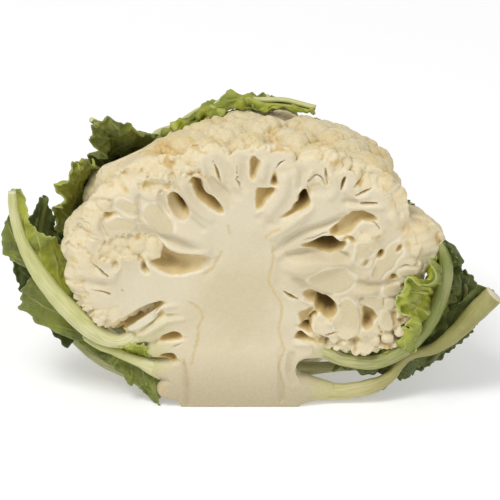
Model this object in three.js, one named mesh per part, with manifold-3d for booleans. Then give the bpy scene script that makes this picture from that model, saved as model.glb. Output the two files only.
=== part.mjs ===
// Half a cauliflower, cut in two from the top down through the stem, standing on its trimmed stem end.
// The head, which is stem, branches and curd, grew as one piece. Each leaf has a pale rib and a green blade.
// Lengths are in millimetres. In the plant's own frame the cut face is the plane y = 0 and faces -Y,
// the plant is behind it, and z = 0 is the surface that the stem end stands on.
import * as THREE from "three";
import { mergeVertices } from "three/addons/utils/BufferGeometryUtils.js";
import Module from "manifold-3d";

const wasm = await Module();
wasm.setup();

// Driving dimensions.
const STEM_RADIUS = 26.5;
const STEM_TOP = 62;
const STEM_END_CENTRE = 12; // how far behind the cut face the middle of the half-round stem end lies
const CURD_CENTRE = new THREE.Vector3(3.5, 6, 76);
const CURD_HALF = { width: 76, depth: 75, up: 46.5, down: 40 }; // to the foot of the florets
const CURD_BULGE = 2.25; // exponent of the curd's rounded-box outline, where 2 is an ellipsoid
const CURD_DETAIL = 19;
const LOW_FLORET = {
  centre: new THREE.Vector3(57, 10, 47),
  half: new THREE.Vector3(20, 22, 14),
  lobes: { reach: 0.22, height: 3.5 },
};
const LOBES = { count: 118, reach: 0.205, height: 7.5, wobble: 0.05 };
const FLORETS = { count: 440, reach: 0.108, height: 2.6, wobble: 0.03 };
const BLADE_CLEARANCE = 2.8; // least height of a blade's middle over the curd
const GAP = 0.35; // left between pieces that touch
const RIB_SIDES = 6;
const BLADE_THICKNESS = 0.9;
const BLADE_STEPS = { along: 15, across: 2 };

// The hollows between the branches that the cut opened: [x, z, half width] along each, and its depth.
const HOLLOWS = [
  { depth: 14, line: [[-37, 24.5, 0.8], [-34, 26, 1.4], [-30.5, 25, 2], [-28.5, 23.5, 1]] },
  { depth: 16, line: [[-42, 31.5, 0.8], [-37, 34, 1.2], [-31.5, 36, 1.8], [-28, 36, 1.4], [-25, 35, 0.6]] },
  { depth: 32, line: [[-57.5, 40, 1.6], [-52, 44, 2.3], [-45, 48.5, 2.3], [-38, 52, 1.5], [-32.5, 54, 0.6]] },
  { depth: 9, line: [[-67.5, 74, 0.8], [-63, 71.5, 1.8], [-58, 72, 2.8], [-56, 75, 1.4]] },
  { depth: 24, line: [[-41, 73.5, 2.6], [-36, 74, 4.2], [-30, 73, 4.5], [-22, 72.5, 3.8], [-16, 71.5, 2]] },
  { depth: 8, line: [[-61.5, 96, 1], [-58.5, 96.5, 1.3], [-54, 98.5, 0.7]] },
  { depth: 7, line: [[-60.5, 107, 0.6], [-56, 107.5, 0.9], [-51, 108.5, 1], [-50, 106.5, 0.6]] },
  { depth: 25, line: [[-33, 107, 2.3], [-30.5, 103, 3.5], [-28, 99.5, 3.1], [-25, 96.5, 1.5]] },
  { depth: 20, line: [[-20, 115, 1.8], [-18.5, 109, 2.1], [-14.5, 104.5, 2.2], [-11, 101.5, 1.7], [-8, 98.5, 0.8]] },
  { depth: 9, line: [[-11.5, 123.5, 0.6], [-10, 119, 0.8], [-9, 115, 0.8]] },
  { depth: 14, line: [[5.5, 126, 1], [6.3, 123, 2], [5.8, 119.5, 1.4], [5.3, 115.5, 0.8]] },
  { depth: 12, line: [[16, 120.5, 0.6], [15.3, 117, 1], [14.8, 113, 1.1]] },
  { depth: 14, line: [[14.5, 109.5, 0.9], [11.7, 107.5, 1.6], [9.5, 104, 1], [8.5, 100.5, 0.6]] },
  { depth: 30, line: [[29, 108, 1.4], [28, 104, 2.7], [24.5, 100.5, 1.7], [21.5, 98, 1], [18, 95.5, 0.5]] },
  { depth: 9, line: [[46.5, 115.5, 0.9], [46, 111, 0.6]] },
  { depth: 15, line: [[45, 92.5, 1.4], [50.5, 95, 2.3], [56.5, 92, 2.3], [62, 90, 1.3]] },
  { depth: 30, line: [[28.5, 81.5, 0.5], [33.5, 82, 1.3], [38, 83, 2.9], [42, 83, 2.7], [45, 81.5, 1.1]] },
  { depth: 12, line: [[64, 79, 0.9], [61.5, 75, 0.5]] },
  { depth: 9, line: [[73, 83, 0.5], [71.5, 80.5, 0.7], [70, 78, 0.5]] },
  { depth: 11, line: [[66, 64.5, 0.6], [69, 66, 1.3], [71.5, 65, 0.6]] },
  { depth: 26, line: [[27, 55.5, 0.8], [33.5, 56, 1.8], [38.5, 52, 3.6], [41, 48.5, 2.8], [38, 46.5, 1.4]] },
  { depth: 18, line: [[34, 47.5, 0.7], [31.5, 43.5, 0.8], [31, 39.5, 0.8], [33, 36, 0.6]] },
  { depth: 16, line: [[57, 50.5, 1.1], [58, 47, 2.2], [58.5, 43, 2.1], [57.5, 41, 1.1]] },
  { depth: 18, line: [[26.5, 36.5, 1.3], [29, 35.5, 1.4], [33, 34.5, 0.9], [38, 31, 0.7]] },
  { depth: 9, line: [[52.5, 34.5, 0.8], [53.5, 32.5, 1.3]] },
  { depth: 9, line: [[68.5, 48.5, 0.7], [70, 45, 0.7], [71, 40.5, 0.5]] },
];

// The leaves, from the innermost out. rib: [x, y, z, half width] from the root, inside the stem, to the tip.
// left and right: the blade's two edges, beside the stretch of rib from share `start` of its length on.
// wave: how far the blade's ruffles rise, and how many there are along it. behind: which way the blade lies off the rib.
const LEAVES = [
  {
    name: "leaf_left_main",
    rib: [[-18, 6, 38, 7], [-34, 6, 37.5, 6.2], [-46, 6, 33, 4.2], [-55, 6, 31, 3.3], [-64, 6.5, 34, 4.2],
      [-75, 7, 44, 4.6], [-86, 8, 57, 4], [-93.5, 9, 69, 3.3], [-99, 9, 82, 2.6], [-102, 9, 95, 2.1], [-102.5, 9, 105, 1.7]],
    start: 0.36,
    right: [[-60, 14, 38], [-70, 20, 46], [-75, 23, 58], [-79, 21, 70], [-85, 17, 78], [-91, 14, 82], [-95, 12, 88],
      [-96, 12, 95], [-98.5, 11, 106]],
    left: [[-62, 10, 27], [-78, 12, 32], [-97, 14, 43], [-98, 15, 53], [-96, 14, 61], [-104, 14, 68], [-107, 13, 78],
      [-107, 12, 89], [-104, 11, 104]],
    wave: [2.2, 4],
    base: "cut",
  },
  {
    name: "leaf_left_low",
    rib: [[-18, 6, 13.5, 6.5], [-34, 6, 15.5, 5.8], [-46, 7, 21.5, 3.6], [-56, 8, 25, 2.6], [-66, 11, 27.5, 2.2], [-78, 14, 35, 1.6]],
    start: 0.32,
    left: [[-35, 4, 9], [-36.5, 3, 4], [-38.5, 3, 1.4], [-45, 5, 7], [-53, 8, 12], [-61, 11, 18.5], [-72, 14, 26], [-80, 16, 34]],
    wave: [1.6, 3],
    base: "cut",
  },
  {
    name: "leaf_left_stub",
    rib: [[-18, 6, 28, 5.2], [-31, 6, 28, 4.4], [-40.5, 6, 27, 3.2]],
    base: "cut",
  },
  {
    name: "leaf_left_bract",
    rib: [[-22, 1, 55, 1.6], [-34, 1, 49.8, 1.9], [-43, 1, 43.6, 1.9], [-50, 1, 39.4, 1.1]],
    base: "cut",
  },
  {
    name: "leaf_right_inner",
    rib: [[18, 6, 27, 5], [36, 6, 25.5, 3.8], [47, 6, 21.5, 3.3], [59.5, 6, 20, 3.4], [70, 5.5, 24, 3.4], [79.5, 5.5, 32, 3.4],
      [86.5, 6, 42, 3.4], [91, 6.5, 54, 3.4], [93, 7, 65, 3.2], [92, 8, 74, 2.7], [89.5, 9, 79, 2]],
    start: 0.22,
    left: [[44, 12, 27], [56, 12, 27.5], [67, 9, 31], [74, 1, 36], [77, -5, 43], [71.5, -7, 51], [74, -7, 61], [80, -6, 67],
      [87, 1, 68], [88, 12, 79]],
    right: [[42, 9, 16], [54, 10, 14], [67, 10, 15.5], [79, 10, 22], [89, 11, 32], [95, 13, 43], [98, 14, 55], [99, 14, 65],
      [96, 13, 75], [91, 12, 80]],
    wave: [2.6, 5],
    base: "cut",
  },
  {
    name: "leaf_right_outer",
    rib: [[18, 6, 7.5, 5.6], [37, 6, 5.4, 4.2], [49.5, 6, 5.6, 3.8], [61, 6, 8.3, 3.4], [68.5, 6, 13.4, 2.6], [72.5, 6, 19, 2.3],
      [77.5, 6, 24, 2.3], [88, 6.5, 27, 2.8], [98, 7, 35, 3.8], [107, 8, 45, 4.6], [115, 9, 53, 4.8]],
    start: 0.36,
    left: [[58, 13, 13], [65, 15, 18], [72, 16, 24], [80, 16, 31], [90, 15, 40], [99, 13, 47], [108, 12, 56]],
    right: [[62, 9, 4.5], [70, 10, 8], [77, 11, 12], [84, 11, 16], [92, 10, 23], [101, 10, 32], [116, 11, 49]],
    wave: [1.6, 4],
    base: "cut",
  },
  {
    name: "leaf_left_curled",
    rib: [[-18, 14, 23, 5.5], [-36, 29, 17, 5], [-56, 42, 20, 4.6], [-73, 49, 37, 4], [-83, 51, 59, 3.4], [-84, 47, 80, 2.8],
      [-80, 39, 97, 2.2], [-76, 31, 109, 1.5]],
    start: 0.42,
    left: [[-70, 41, 26], [-80, 42, 42], [-87, 42, 60], [-88, 38, 76], [-85, 32, 90], [-85, 28, 101], [-77, 28, 111]],
    right: [[-60, 54, 26], [-70, 62, 44], [-73, 62, 64], [-72, 57, 84], [-66, 46, 98], [-66, 37, 105], [-72, 29, 111]],
    wave: [3.4, 5],
    base: "root",
  },
  {
    name: "leaf_left_back",
    rib: [[-14, 17, 14, 6], [-30, 36, 5.2, 6], [-47, 56, 15, 5.2], [-60, 70, 36, 4.3], [-65, 75, 60, 3.6], [-64, 71, 84, 3],
      [-60, 59, 104, 2.4], [-61, 46, 118, 1.8], [-67, 37, 127, 1.2]],
    start: 0.36,
    left: [[-54, 64, 22], [-65, 71, 42], [-71, 71, 62], [-70, 66, 84], [-68, 53, 100], [-68, 43, 109], [-73, 38, 118],
      [-70, 36, 128]],
    right: [[-38, 72, 24], [-46, 84, 46], [-50, 86, 68], [-50, 79, 90], [-46, 66, 106], [-43, 53, 116], [-50, 44, 124],
      [-65, 36, 129]],
    wave: [3.4, 5],
    base: "root",
  },
  {
    name: "leaf_top",
    rib: [[-8, 20, 22, 5], [-20, 46, 15, 4.8], [-32, 71, 24, 4.4], [-40, 86, 46, 4], [-43, 88, 70, 3.4], [-39, 80, 95, 3],
      [-29, 67, 114, 2.6], [-18, 61, 124.5, 2.3], [-4.5, 58, 128.5, 2], [10, 56, 128, 1.9], [20, 54, 128.5, 1.9],
      [27, 52, 127.5, 1.9], [34, 50, 126.5, 1.8]],
    start: 0.3,
    left: [[-50, 78, 44], [-58, 76, 62], [-60, 70, 82], [-52, 62, 99], [-42, 57, 110], [-29, 54, 119], [-15, 51, 124.5],
      [0, 49, 126.5], [14, 48, 126.5], [25, 48.5, 125], [34, 48, 125.5]],
    right: [[-24, 84, 36], [-22, 94, 56], [-20, 94, 78], [-17, 87, 98], [-13, 79, 114], [-6, 73, 124], [2, 68, 127],
      [10, 64, 129], [18, 60, 127], [27, 56, 127.5], [34, 52, 127.5]],
    wave: [3.6, 7],
    base: "root",
  },
  {
    name: "leaf_back_middle",
    rib: [[4, 20, 13, 6.6], [9, 46, 5.8, 6.6], [13, 69, 12, 5.6], [16, 89, 31, 4.9], [17, 99, 57, 4.2], [16, 101, 81, 3.4],
      [14, 96, 100, 2.6], [12, 88, 113, 1.8]],
    start: 0.36,
    left: [[-2, 80, 24], [-8, 95, 46], [-10, 102, 68], [-8, 100, 90], [0, 95, 106], [10, 87, 115]],
    right: [[30, 80, 24], [42, 90, 46], [46, 91, 68], [42, 88, 90], [30, 86, 105], [14, 87, 115]],
    wave: [3.4, 5],
    base: "root",
  },
  {
    name: "leaf_right_back",
    rib: [[14, 17, 13, 6.2], [32, 39, 5.4, 6.2], [50, 58, 13, 5.2], [65, 70, 32, 4.2], [74, 70, 53, 3.2], [78, 65, 66, 2.2],
      [80.5, 61, 75, 1.4]],
    start: 0.42,
    left: [[44, 72, 24], [56, 81, 42], [66, 78, 58], [73, 71, 70], [80, 62, 77]],
    right: [[66, 53, 24], [80, 55, 40], [87, 56, 54], [86, 58, 66], [82, 60, 77]],
    wave: [2.8, 4],
    base: "root",
  },
  {
    name: "leaf_right_side",
    rib: [[18, 13, 13, 5.6], [44, 21, 7, 5.2], [68, 23, 11, 4.4], [88, 22, 23, 3.4], [97, 22, 33, 2.6], [102, 23, 44, 1.9],
      [101, 26, 55, 1.2]],
    start: 0.4,
    left: [[64, 36, 20], [78, 40, 34], [86, 40, 47], [92, 36, 57], [100, 28, 59]],
    right: [[78, 15, 9], [96, 17, 21], [106, 18, 32], [109, 21, 44], [102, 25, 58]],
    wave: [2.4, 4],
    base: "root",
  },
  {
    name: "leaf_left_dark",
    rib: [[-20, 12, 10, 5.6], [-42, 20, 7.5, 5.2], [-64, 26, 14, 4.5], [-82, 30, 32, 3.8], [-92, 32, 52, 3.2],
      [-95, 33, 72, 2.4], [-90, 32, 92, 1.4]],
    start: 0.42,
    left: [[-78, 20, 20], [-92, 22, 36], [-101, 25, 52], [-102, 27, 68], [-98, 29, 83], [-90, 30, 95]],
    right: [[-68, 33, 24], [-83, 38, 40], [-91, 38, 56], [-93, 37, 72], [-91, 35, 85], [-89, 33, 95]],
    wave: [1.8, 4],
    base: "root",
  },
];

const COLOURS = {
  head: { color: 0xe6d9b4, roughness: 0.62 },
  rib: { color: 0xc9cf94, roughness: 0.48 },
  blade: { color: 0x5f7a2c, roughness: 0.55 },
};

// A share from 0 to 1 that looks random but is the same each time, from a whole number.
function chance(seed) {
  const wave = Math.sin(seed * 12.9898 + 4.1) * 43758.5453;
  return wave - Math.floor(wave);
}

// Directions spread evenly over a ball along a spiral, each pushed aside a little.
function spiralDirections({ count, wobble }, seed) {
  const golden = Math.PI * (3 - Math.sqrt(5));
  return Array.from({ length: count }, (_, i) => {
    const y = 1 - (2 * (i + 0.5)) / count;
    const ring = Math.sqrt(1 - y * y);
    const push = [0, 1, 2].map((k) => (chance(seed + i * 3 + k) - 0.5) * 2 * wobble);
    return new THREE.Vector3(
      ring * Math.cos(golden * i) + push[0],
      y + push[1],
      ring * Math.sin(golden * i) + push[2],
    ).normalize();
  });
}

const lobeDirections = spiralDirections(LOBES, 100);
const floretDirections = spiralDirections(FLORETS, 2000);

// Height of the round-topped lumps round the given directions, at one direction.
function lumps(direction, centres, { reach, height }) {
  let best = 0;
  for (const centre of centres) {
    const share = direction.distanceToSquared(centre) / (reach * reach);
    if (share < 1) best = Math.max(best, Math.sqrt(1 - share));
  }
  return best * height;
}

// A manifold solid from a list of corner points and triangles between them.
function solidFrom(points, triangles) {
  const vertProperties = new Float32Array(points.flatMap((p) => [p.x, p.y, p.z]));
  return new wasm.Manifold(new wasm.Mesh({ numProp: 3, vertProperties, triVerts: new Uint32Array(triangles.flat()) }));
}

function solidFromGeometry(geometry) {
  geometry.deleteAttribute("normal");
  geometry.deleteAttribute("uv");
  const merged = mergeVertices(geometry, 1e-4);
  return new wasm.Manifold(
    new wasm.Mesh({
      numProp: 3,
      vertProperties: merged.attributes.position.array,
      triVerts: new Uint32Array(merged.index.array),
    }),
  );
}

function geometryOf(solid) {
  const mesh = solid.getMesh();
  const geometry = new THREE.BufferGeometry();
  geometry.setAttribute("position", new THREE.BufferAttribute(mesh.vertProperties, 3));
  geometry.setIndex(new THREE.BufferAttribute(mesh.triVerts, 1));
  const faceted = geometry.toNonIndexed();
  faceted.computeVertexNormals();
  return faceted;
}

function box(low, high) {
  const size = high.map((h, i) => h - low[i]);
  const middle = high.map((h, i) => (h + low[i]) / 2);
  return solidFromGeometry(new THREE.BoxGeometry(...size).translate(...middle));
}

const REACH = 400;
const behindTheCut = box([-REACH, 0, -REACH], [REACH, REACH, REACH]);
const aboveTheTable = box([-REACH, -REACH, 0], [REACH, REACH, REACH]);

// A smooth line through points of any number of values, such as x, y, z and a half width.
function along(points, share) {
  const at = share * (points.length - 1);
  const i = Math.min(Math.floor(at), points.length - 2);
  const t = at - i;
  return points[0].map((_, k) => {
    const b = points[i][k];
    const c = points[i + 1][k];
    const a = i > 0 ? points[i - 1][k] : 2 * b - c;
    const d = i + 2 < points.length ? points[i + 2][k] : 2 * c - b;
    return b + 0.5 * t * (c - a + t * (2 * a - 5 * b + 4 * c - d + t * (3 * (b - c) + d - a)));
  });
}

function pointAlong(points, share) {
  const [x, y, z] = along(points, share);
  return new THREE.Vector3(x, y, z);
}

// A closed skin over rings of the same number of points, with a middle point at each end.
function skin(rings) {
  const sides = rings[0].length;
  const points = rings.flat();
  const triangles = [];
  for (let r = 0; r + 1 < rings.length; r++)
    for (let s = 0; s < sides; s++) {
      const [a, b] = [r * sides + s, r * sides + ((s + 1) % sides)];
      triangles.push([a, b, b + sides], [a, b + sides, a + sides]);
    }
  for (const [ring, first] of [[rings[0], 0], [rings[rings.length - 1], (rings.length - 1) * sides]]) {
    const middle = ring.reduce((sum, p) => sum.add(p), new THREE.Vector3()).divideScalar(sides);
    points.push(middle);
    for (let s = 0; s < sides; s++) {
      const edge = [first + s, first + ((s + 1) % sides)];
      triangles.push(first === 0 ? [edge[1], edge[0], points.length - 1] : [edge[0], edge[1], points.length - 1]);
    }
  }
  const made = solidFrom(points, triangles);
  return made.volume() > 0 ? made : solidFrom(points, triangles.map(([a, b, c]) => [a, c, b]));
}

function curdRadius(direction) {
  return curdOutline(direction) + lumps(direction, lobeDirections, LOBES) + lumps(direction, floretDirections, FLORETS);
}

// A lumpy ball of given radius in each direction, grown outwards by extra.
function lumpyBall(centre, radius, detail, extra) {
  const geometry = new THREE.IcosahedronGeometry(1, detail);
  const position = geometry.getAttribute("position");
  const direction = new THREE.Vector3();
  for (let i = 0; i < position.count; i++) {
    direction.fromBufferAttribute(position, i).normalize();
    direction.multiplyScalar(radius(direction) + extra).add(centre);
    position.setXYZ(i, direction.x, direction.y, direction.z);
  }
  return solidFromGeometry(geometry);
}

function curdOutline(direction) {
  const { width, depth, up, down } = CURD_HALF;
  const halves = [width, depth, direction.z > 0 ? up : down];
  const sum = direction.toArray().reduce((s, d, k) => s + Math.pow(Math.abs(d) / halves[k], CURD_BULGE), 0);
  return Math.pow(sum, -1 / CURD_BULGE);
}

// A point moved out of the curd, if need be, to a given height over it. In front of the cut there is no curd.
function clearOfCurd(point, height) {
  const direction = point.clone().sub(CURD_CENTRE);
  const far = direction.length();
  direction.divideScalar(far);
  const least = curdRadius(direction) + height;
  return point.y > -1 && far < least ? point.copy(CURD_CENTRE).addScaledVector(direction, least) : point;
}

function lowFloretRadius(direction) {
  return 1 / direction.clone().divide(LOW_FLORET.half).length() + lumps(direction, lobeDirections, LOW_FLORET.lobes);
}

function curd(extra) {
  return lumpyBall(CURD_CENTRE, curdRadius, CURD_DETAIL, extra).add(
    lumpyBall(LOW_FLORET.centre, lowFloretRadius, 8, extra),
  );
}

function stem(extra) {
  const r = STEM_RADIUS + extra;
  const profile = [[0, 0], [r - 0.5, 0], [r, 2], [r - 1.2, 25], [r - 0.8, STEM_TOP], [0, STEM_TOP]];
  const geometry = new THREE.LatheGeometry(profile.map(([x, y]) => new THREE.Vector2(x, y)), 36).rotateX(Math.PI / 2);
  return solidFromGeometry(geometry);
}

// One hollow: a flattened tube whose line lies in the cut face and which reaches back by its depth.
function hollow({ line, depth }) {
  const steps = line.length * 2 - 2;
  const widest = Math.max(...line.map((p) => p[2]));
  const rings = [];
  for (let i = 0; i <= steps; i++) {
    const [x, z, half] = along(line, i / steps);
    const ahead = along(line, Math.min(1, i / steps + 0.02));
    const back = along(line, Math.max(0, i / steps - 0.02));
    const across = new THREE.Vector3(-(ahead[1] - back[1]), 0, ahead[0] - back[0]).normalize();
    const reach = depth * Math.sqrt(half / widest);
    const ring = [];
    for (let k = 0; k < 8; k++) {
      const angle = (k * Math.PI) / 4;
      ring.push(
        new THREE.Vector3(x, Math.sin(angle) * reach, z).addScaledVector(across, Math.cos(angle) * half),
      );
    }
    rings.push(ring);
  }
  return skin(rings);
}

// Directions along a rib that stay square to it: forward, and up, which is the side that the blade lies on.
// A leaf cut in two along its stalk starts with up away from the cut face, any other with up to the sky.
function frames({ rib: line, base }) {
  const steps = 48;
  let up = base === "cut" ? new THREE.Vector3(0, 1, 0) : new THREE.Vector3(0, 0, 1);
  return Array.from({ length: steps + 1 }, (_, i) => {
    const ahead = pointAlong(line, Math.min(1, (i + 0.5) / steps));
    const forward = ahead.sub(pointAlong(line, Math.max(0, (i - 0.5) / steps))).normalize();
    up = up.clone().addScaledVector(forward, -up.dot(forward)).normalize();
    return { forward, up };
  });
}

function frameAt(leaf, share) {
  leaf.frames ??= frames(leaf);
  return leaf.frames[Math.round(share * (leaf.frames.length - 1))];
}

// A leaf's rib: a stalk that is flatter on the side towards the blade.
function rib(leaf, extra) {
  const steps = Math.round((leaf.rib.length - 1) * 1.25);
  const rings = [];
  for (let i = 0; i <= steps; i++) {
    const [x, y, z, half] = along(leaf.rib, i / steps);
    const { forward, up } = frameAt(leaf, i / steps);
    const across = new THREE.Vector3().crossVectors(forward, up);
    const ring = [];
    for (let k = 0; k < RIB_SIDES; k++) {
      const angle = ((k + 0.5) * 2 * Math.PI) / RIB_SIDES;
      const rise = Math.sin(angle) * (Math.sin(angle) > 0 ? 0.7 : 1) * (half + extra);
      const point = new THREE.Vector3(x, y, z);
      ring.push(point.addScaledVector(across, Math.cos(angle) * (half + extra)).addScaledVector(up, rise));
    }
    rings.push(ring);
  }
  return skin(rings);
}

// A leaf's blade: a waved sheet from its left edge over the rib to its right edge, the same triangles on both faces.
function blade(leaf, extra) {
  const { rib: line, left, right, start, wave } = leaf;
  const [height, count] = wave;
  const { along: rows, across } = BLADE_STEPS;
  const columns = [];
  for (let c = left ? -across : 0; c <= (right ? across : 0); c++) columns.push(c / across);
  const point = (u, v) => {
    const share = start + (1 - start) * u;
    const half = along(line, share)[3];
    const middle = pointAlong(line, share).addScaledVector(frameAt(leaf, share).up, half * 0.7 + GAP + BLADE_THICKNESS);
    if (v === 0) return middle;
    const tooth = 0.07 * Math.sin(u * Math.PI * rows) + 0.06 * Math.sin(u * 17 + left.length);
    return middle.lerp(pointAlong(v < 0 ? left : right, u), Math.abs(v) * (1 + tooth * Math.abs(v)));
  };
  const rise = (u, v) =>
    height * v * v * Math.sin(Math.PI * Math.min(1, 4 * u * (1 - u) + 0.3) * 0.5) *
    Math.sin(u * Math.PI * 2 * count + (v < 0 ? 1.3 : 3.9));
  const grid = [];
  for (let r = 0; r <= rows; r++)
    for (const v of columns) {
      const u = r / rows;
      const du = point(Math.min(1, u + 0.02), v).sub(point(Math.max(0, u - 0.02), v));
      const dv = point(u, Math.min(columns[columns.length - 1], v + 0.1)).sub(point(u, Math.max(columns[0], v - 0.1)));
      const normal = new THREE.Vector3().crossVectors(du, dv).normalize();
      const outwards = du.normalize().multiplyScalar(r === 0 ? -extra : r === rows ? extra : 0);
      if (v === columns[0]) outwards.addScaledVector(dv.normalize(), -extra);
      if (v === columns[columns.length - 1]) outwards.addScaledVector(dv.normalize(), extra);
      const waved = point(u, v).addScaledVector(normal, rise(u, v));
      grid.push({ point: clearOfCurd(waved, BLADE_CLEARANCE).add(outwards), normal });
    }
  const half = BLADE_THICKNESS / 2 + extra;
  const points = [
    ...grid.map((g) => g.point.clone().addScaledVector(g.normal, half)),
    ...grid.map((g) => g.point.clone().addScaledVector(g.normal, -half)),
  ];
  const wide = columns.length;
  const lower = grid.length;
  const triangles = [];
  for (let r = 0; r < rows; r++)
    for (let c = 0; c + 1 < wide; c++) {
      const [a, b] = [r * wide + c, r * wide + c + 1];
      const [d, e] = [a + wide, b + wide];
      triangles.push([a, e, b], [a, d, e], [lower + a, lower + b, lower + e], [lower + a, lower + e, lower + d]);
    }
  const rim = [];
  for (let c = 0; c + 1 < wide; c++) rim.push([c, c + 1]);
  for (let r = 0; r < rows; r++) rim.push([r * wide + wide - 1, (r + 1) * wide + wide - 1]);
  for (let c = wide - 1; c > 0; c--) rim.push([rows * wide + c, rows * wide + c - 1]);
  for (let r = rows; r > 0; r--) rim.push([r * wide, (r - 1) * wide]);
  for (const [a, b] of rim) triangles.push([a, b, lower + b], [a, lower + b, lower + a]);
  const made = solidFrom(points, triangles);
  return made.volume() > 0 ? made : solidFrom(points, triangles.map(([a, b, c]) => [a, c, b]));
}

function largest(solid) {
  return solid.decompose().sort((a, b) => b.volume() - a.volume())[0];
}

function meshOf(name, solid, look) {
  const mesh = new THREE.Mesh(geometryOf(solid), new THREE.MeshStandardMaterial({ ...look, metalness: 0 }));
  mesh.name = name;
  return mesh;
}

// The ribs first: each is cut clear of the stem, of the table and of the ribs before it.
const group = new THREE.Group();
const stemClear = stem(GAP);
const ribsClear = [];
for (const leaf of LEAVES) {
  let made = rib(leaf, 0).subtract(stemClear).intersect(aboveTheTable);
  if (leaf.base === "cut") made = made.intersect(behindTheCut);
  for (const other of ribsClear) made = made.subtract(other);
  ribsClear.push(rib(leaf, GAP));
  group.add(meshOf(`${leaf.name}_rib`, largest(made), COLOURS.rib));
}

// The head: the curd makes room for the ribs, and the stem carries it. Then the cut and its hollows.
let headWhole = curd(0);
for (const clear of ribsClear) headWhole = headWhole.subtract(clear);
let head = headWhole.add(stem(0)).intersect(behindTheCut).intersect(aboveTheTable);
for (const space of HOLLOWS) head = head.subtract(hollow(space));
group.add(meshOf("head", largest(head), COLOURS.head));

// The blades last, clear of everything before them.
const headClear = curd(GAP + 0.1).add(stemClear);
const bladesClear = [];
for (const leaf of LEAVES.filter((l) => l.left || l.right)) {
  let made = blade(leaf, 0).subtract(headClear).intersect(aboveTheTable);
  for (const other of [...ribsClear, ...bladesClear]) made = made.subtract(other);
  bladesClear.push(blade(leaf, GAP));
  group.add(meshOf(`${leaf.name}_blade`, largest(made), COLOURS.blade));
}

// The origin moves to the middle of the stem end.
group.position.y = -STEM_END_CENTRE;
export default group;
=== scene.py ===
"""Half a cauliflower, dressed for rendering: finer curd, branches, stalks and leaves over the CAD solids.

Shapes are worked out in the plant's own frame, in millimetres: x to the right along the cut face,
y behind the cut face and z up from the stem end. Points of the cut face are [across, down] in pixels
of the 500 x 500 photograph, because that is where its hollows were read.
"""
import math
import bpy
import numpy as np
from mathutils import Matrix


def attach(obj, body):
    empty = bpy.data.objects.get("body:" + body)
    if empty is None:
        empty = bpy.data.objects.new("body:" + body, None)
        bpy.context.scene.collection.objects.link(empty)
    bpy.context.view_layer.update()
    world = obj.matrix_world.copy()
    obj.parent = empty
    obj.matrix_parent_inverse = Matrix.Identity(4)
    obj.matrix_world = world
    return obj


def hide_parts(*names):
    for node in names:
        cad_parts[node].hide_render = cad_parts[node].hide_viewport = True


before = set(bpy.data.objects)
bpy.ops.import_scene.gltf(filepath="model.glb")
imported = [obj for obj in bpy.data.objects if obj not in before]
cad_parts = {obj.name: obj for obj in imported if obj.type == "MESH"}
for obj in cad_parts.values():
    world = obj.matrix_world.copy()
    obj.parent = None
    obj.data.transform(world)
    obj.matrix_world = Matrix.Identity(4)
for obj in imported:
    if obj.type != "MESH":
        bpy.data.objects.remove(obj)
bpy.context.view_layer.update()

VOXEL = 0.45  # mm, of the grid that the head is worked out on
STEM_END_CENTRE = 12.0  # mm from the cut face to the frame's origin
VIEW_UP = math.radians(27)  # the photograph looks down at this angle
PIXEL = 0.45  # mm in the cut face
ZERO = np.array([240.0, 408.5])  # the pixel at x = 0, z = 0 in the cut face

STEM_RADIUS = 26.5
CURD_CENTRE = np.array([3.5, 6.0, 76.0])
# Half sizes of the curd in mm, from its centre.
CURD_HALF = dict(width=76.0, depth=75.0, up=46.5, down=40.0)
CURD_BULGE = 2.25  # 2 is an ellipsoid, more is fuller
LOW_FLORETS = [  # centre and half sizes in mm
    (np.array([57.0, 9.0, 46.5]), np.array([20.5, 21.0, 16.5])),
    (np.array([-53.0, 5.0, 58.0]), np.array([17.5, 14.0, 16.0])),
]
# The floret that stands out at the right, with its centre and half sizes in mm.
SIDE_FLORET = np.array([75.0, 10.0, 76.5]), np.array([11.5, 15.0, 12.0])
FLAT_SIDES = [  # where the curd is less full: a direction, how much in mm, and how far round it reaches
    (np.array([0.97, 0.25, 0.22]), 10.0, 0.2),
    (np.array([-0.95, 0.1, 0.28]), 5.5, 0.25),
]
SLICE_TOP = 143.9  # mm up at x = 0, of the thin slice that a knife took off the curd's upper left
SLICE_RISE = 0.49  # mm up for each mm to the right
SLICE_BEND = (0.16, 0.0125)  # its rise and its bend behind the cut face
SLICE_BENT = 32.0  # mm behind the cut face where the bend ends
SLICE_FALL = 0.56  # mm down for each mm from there on
SLICE_END = (-14.0, 40.0, 200.0)  # x where it leaves the curd, over how many mm, and how high it goes
SLICE_TILT = 1.15  # how much longer the way straight up is than the shortest way
SLICE_NORMAL = [-0.43, 0.43, 0.87]  # about its direction
RELIEF = dict(lobe=7.5, floret=2.6, cobble=1.2, granule=0.7, sunk=0.85)  # mm, over the smooth curd
LOW_RELIEF = dict(lobe=2.4, floret=2.2, cobble=0.9, granule=0.5)  # mm, over the low florets
SIDE_RELIEF = 0.62  # share of the curd's relief on the side floret
CREASE_SHADE = dict(lobe=0.55, floret=0.35, cobble=0.35, granule=0.2)  # how much painted shade each level puts between the tops
STEM_WAIST = 1.1  # mm that the stem is thinner than STEM_RADIUS, above its foot
STEM_FOOT = 1.2  # mm that the foot is wider than the rest
STEM_SPREAD = 16.0  # mm that the stem widens by where it goes over into the curd
STEM_TOP = 70.0  # mm up, inside the curd
ROOT_FILLET = 4.5  # mm, between the stem and the stalks' roots
CURD_FILLET = 5.0  # mm, between these and the curd
FOLD_STRENGTH = 2.1  # times the depths in FOLDS
CLEFT_STRENGTH = 0.6  # times the depths in CLEFTS
SECTION_FLATNESS = 0.8  # 1 brings a cut branch's end back to the plane of the cut
GROOVE_DEPTH = 0.48  # mm, round each cut branch
STRAND_DEPTH = 0.25  # mm
RELAXING = 0.7  # how far the hollows' points go to the middle of their neighbours each time
RELAXING_ROUNDS = 8
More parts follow.
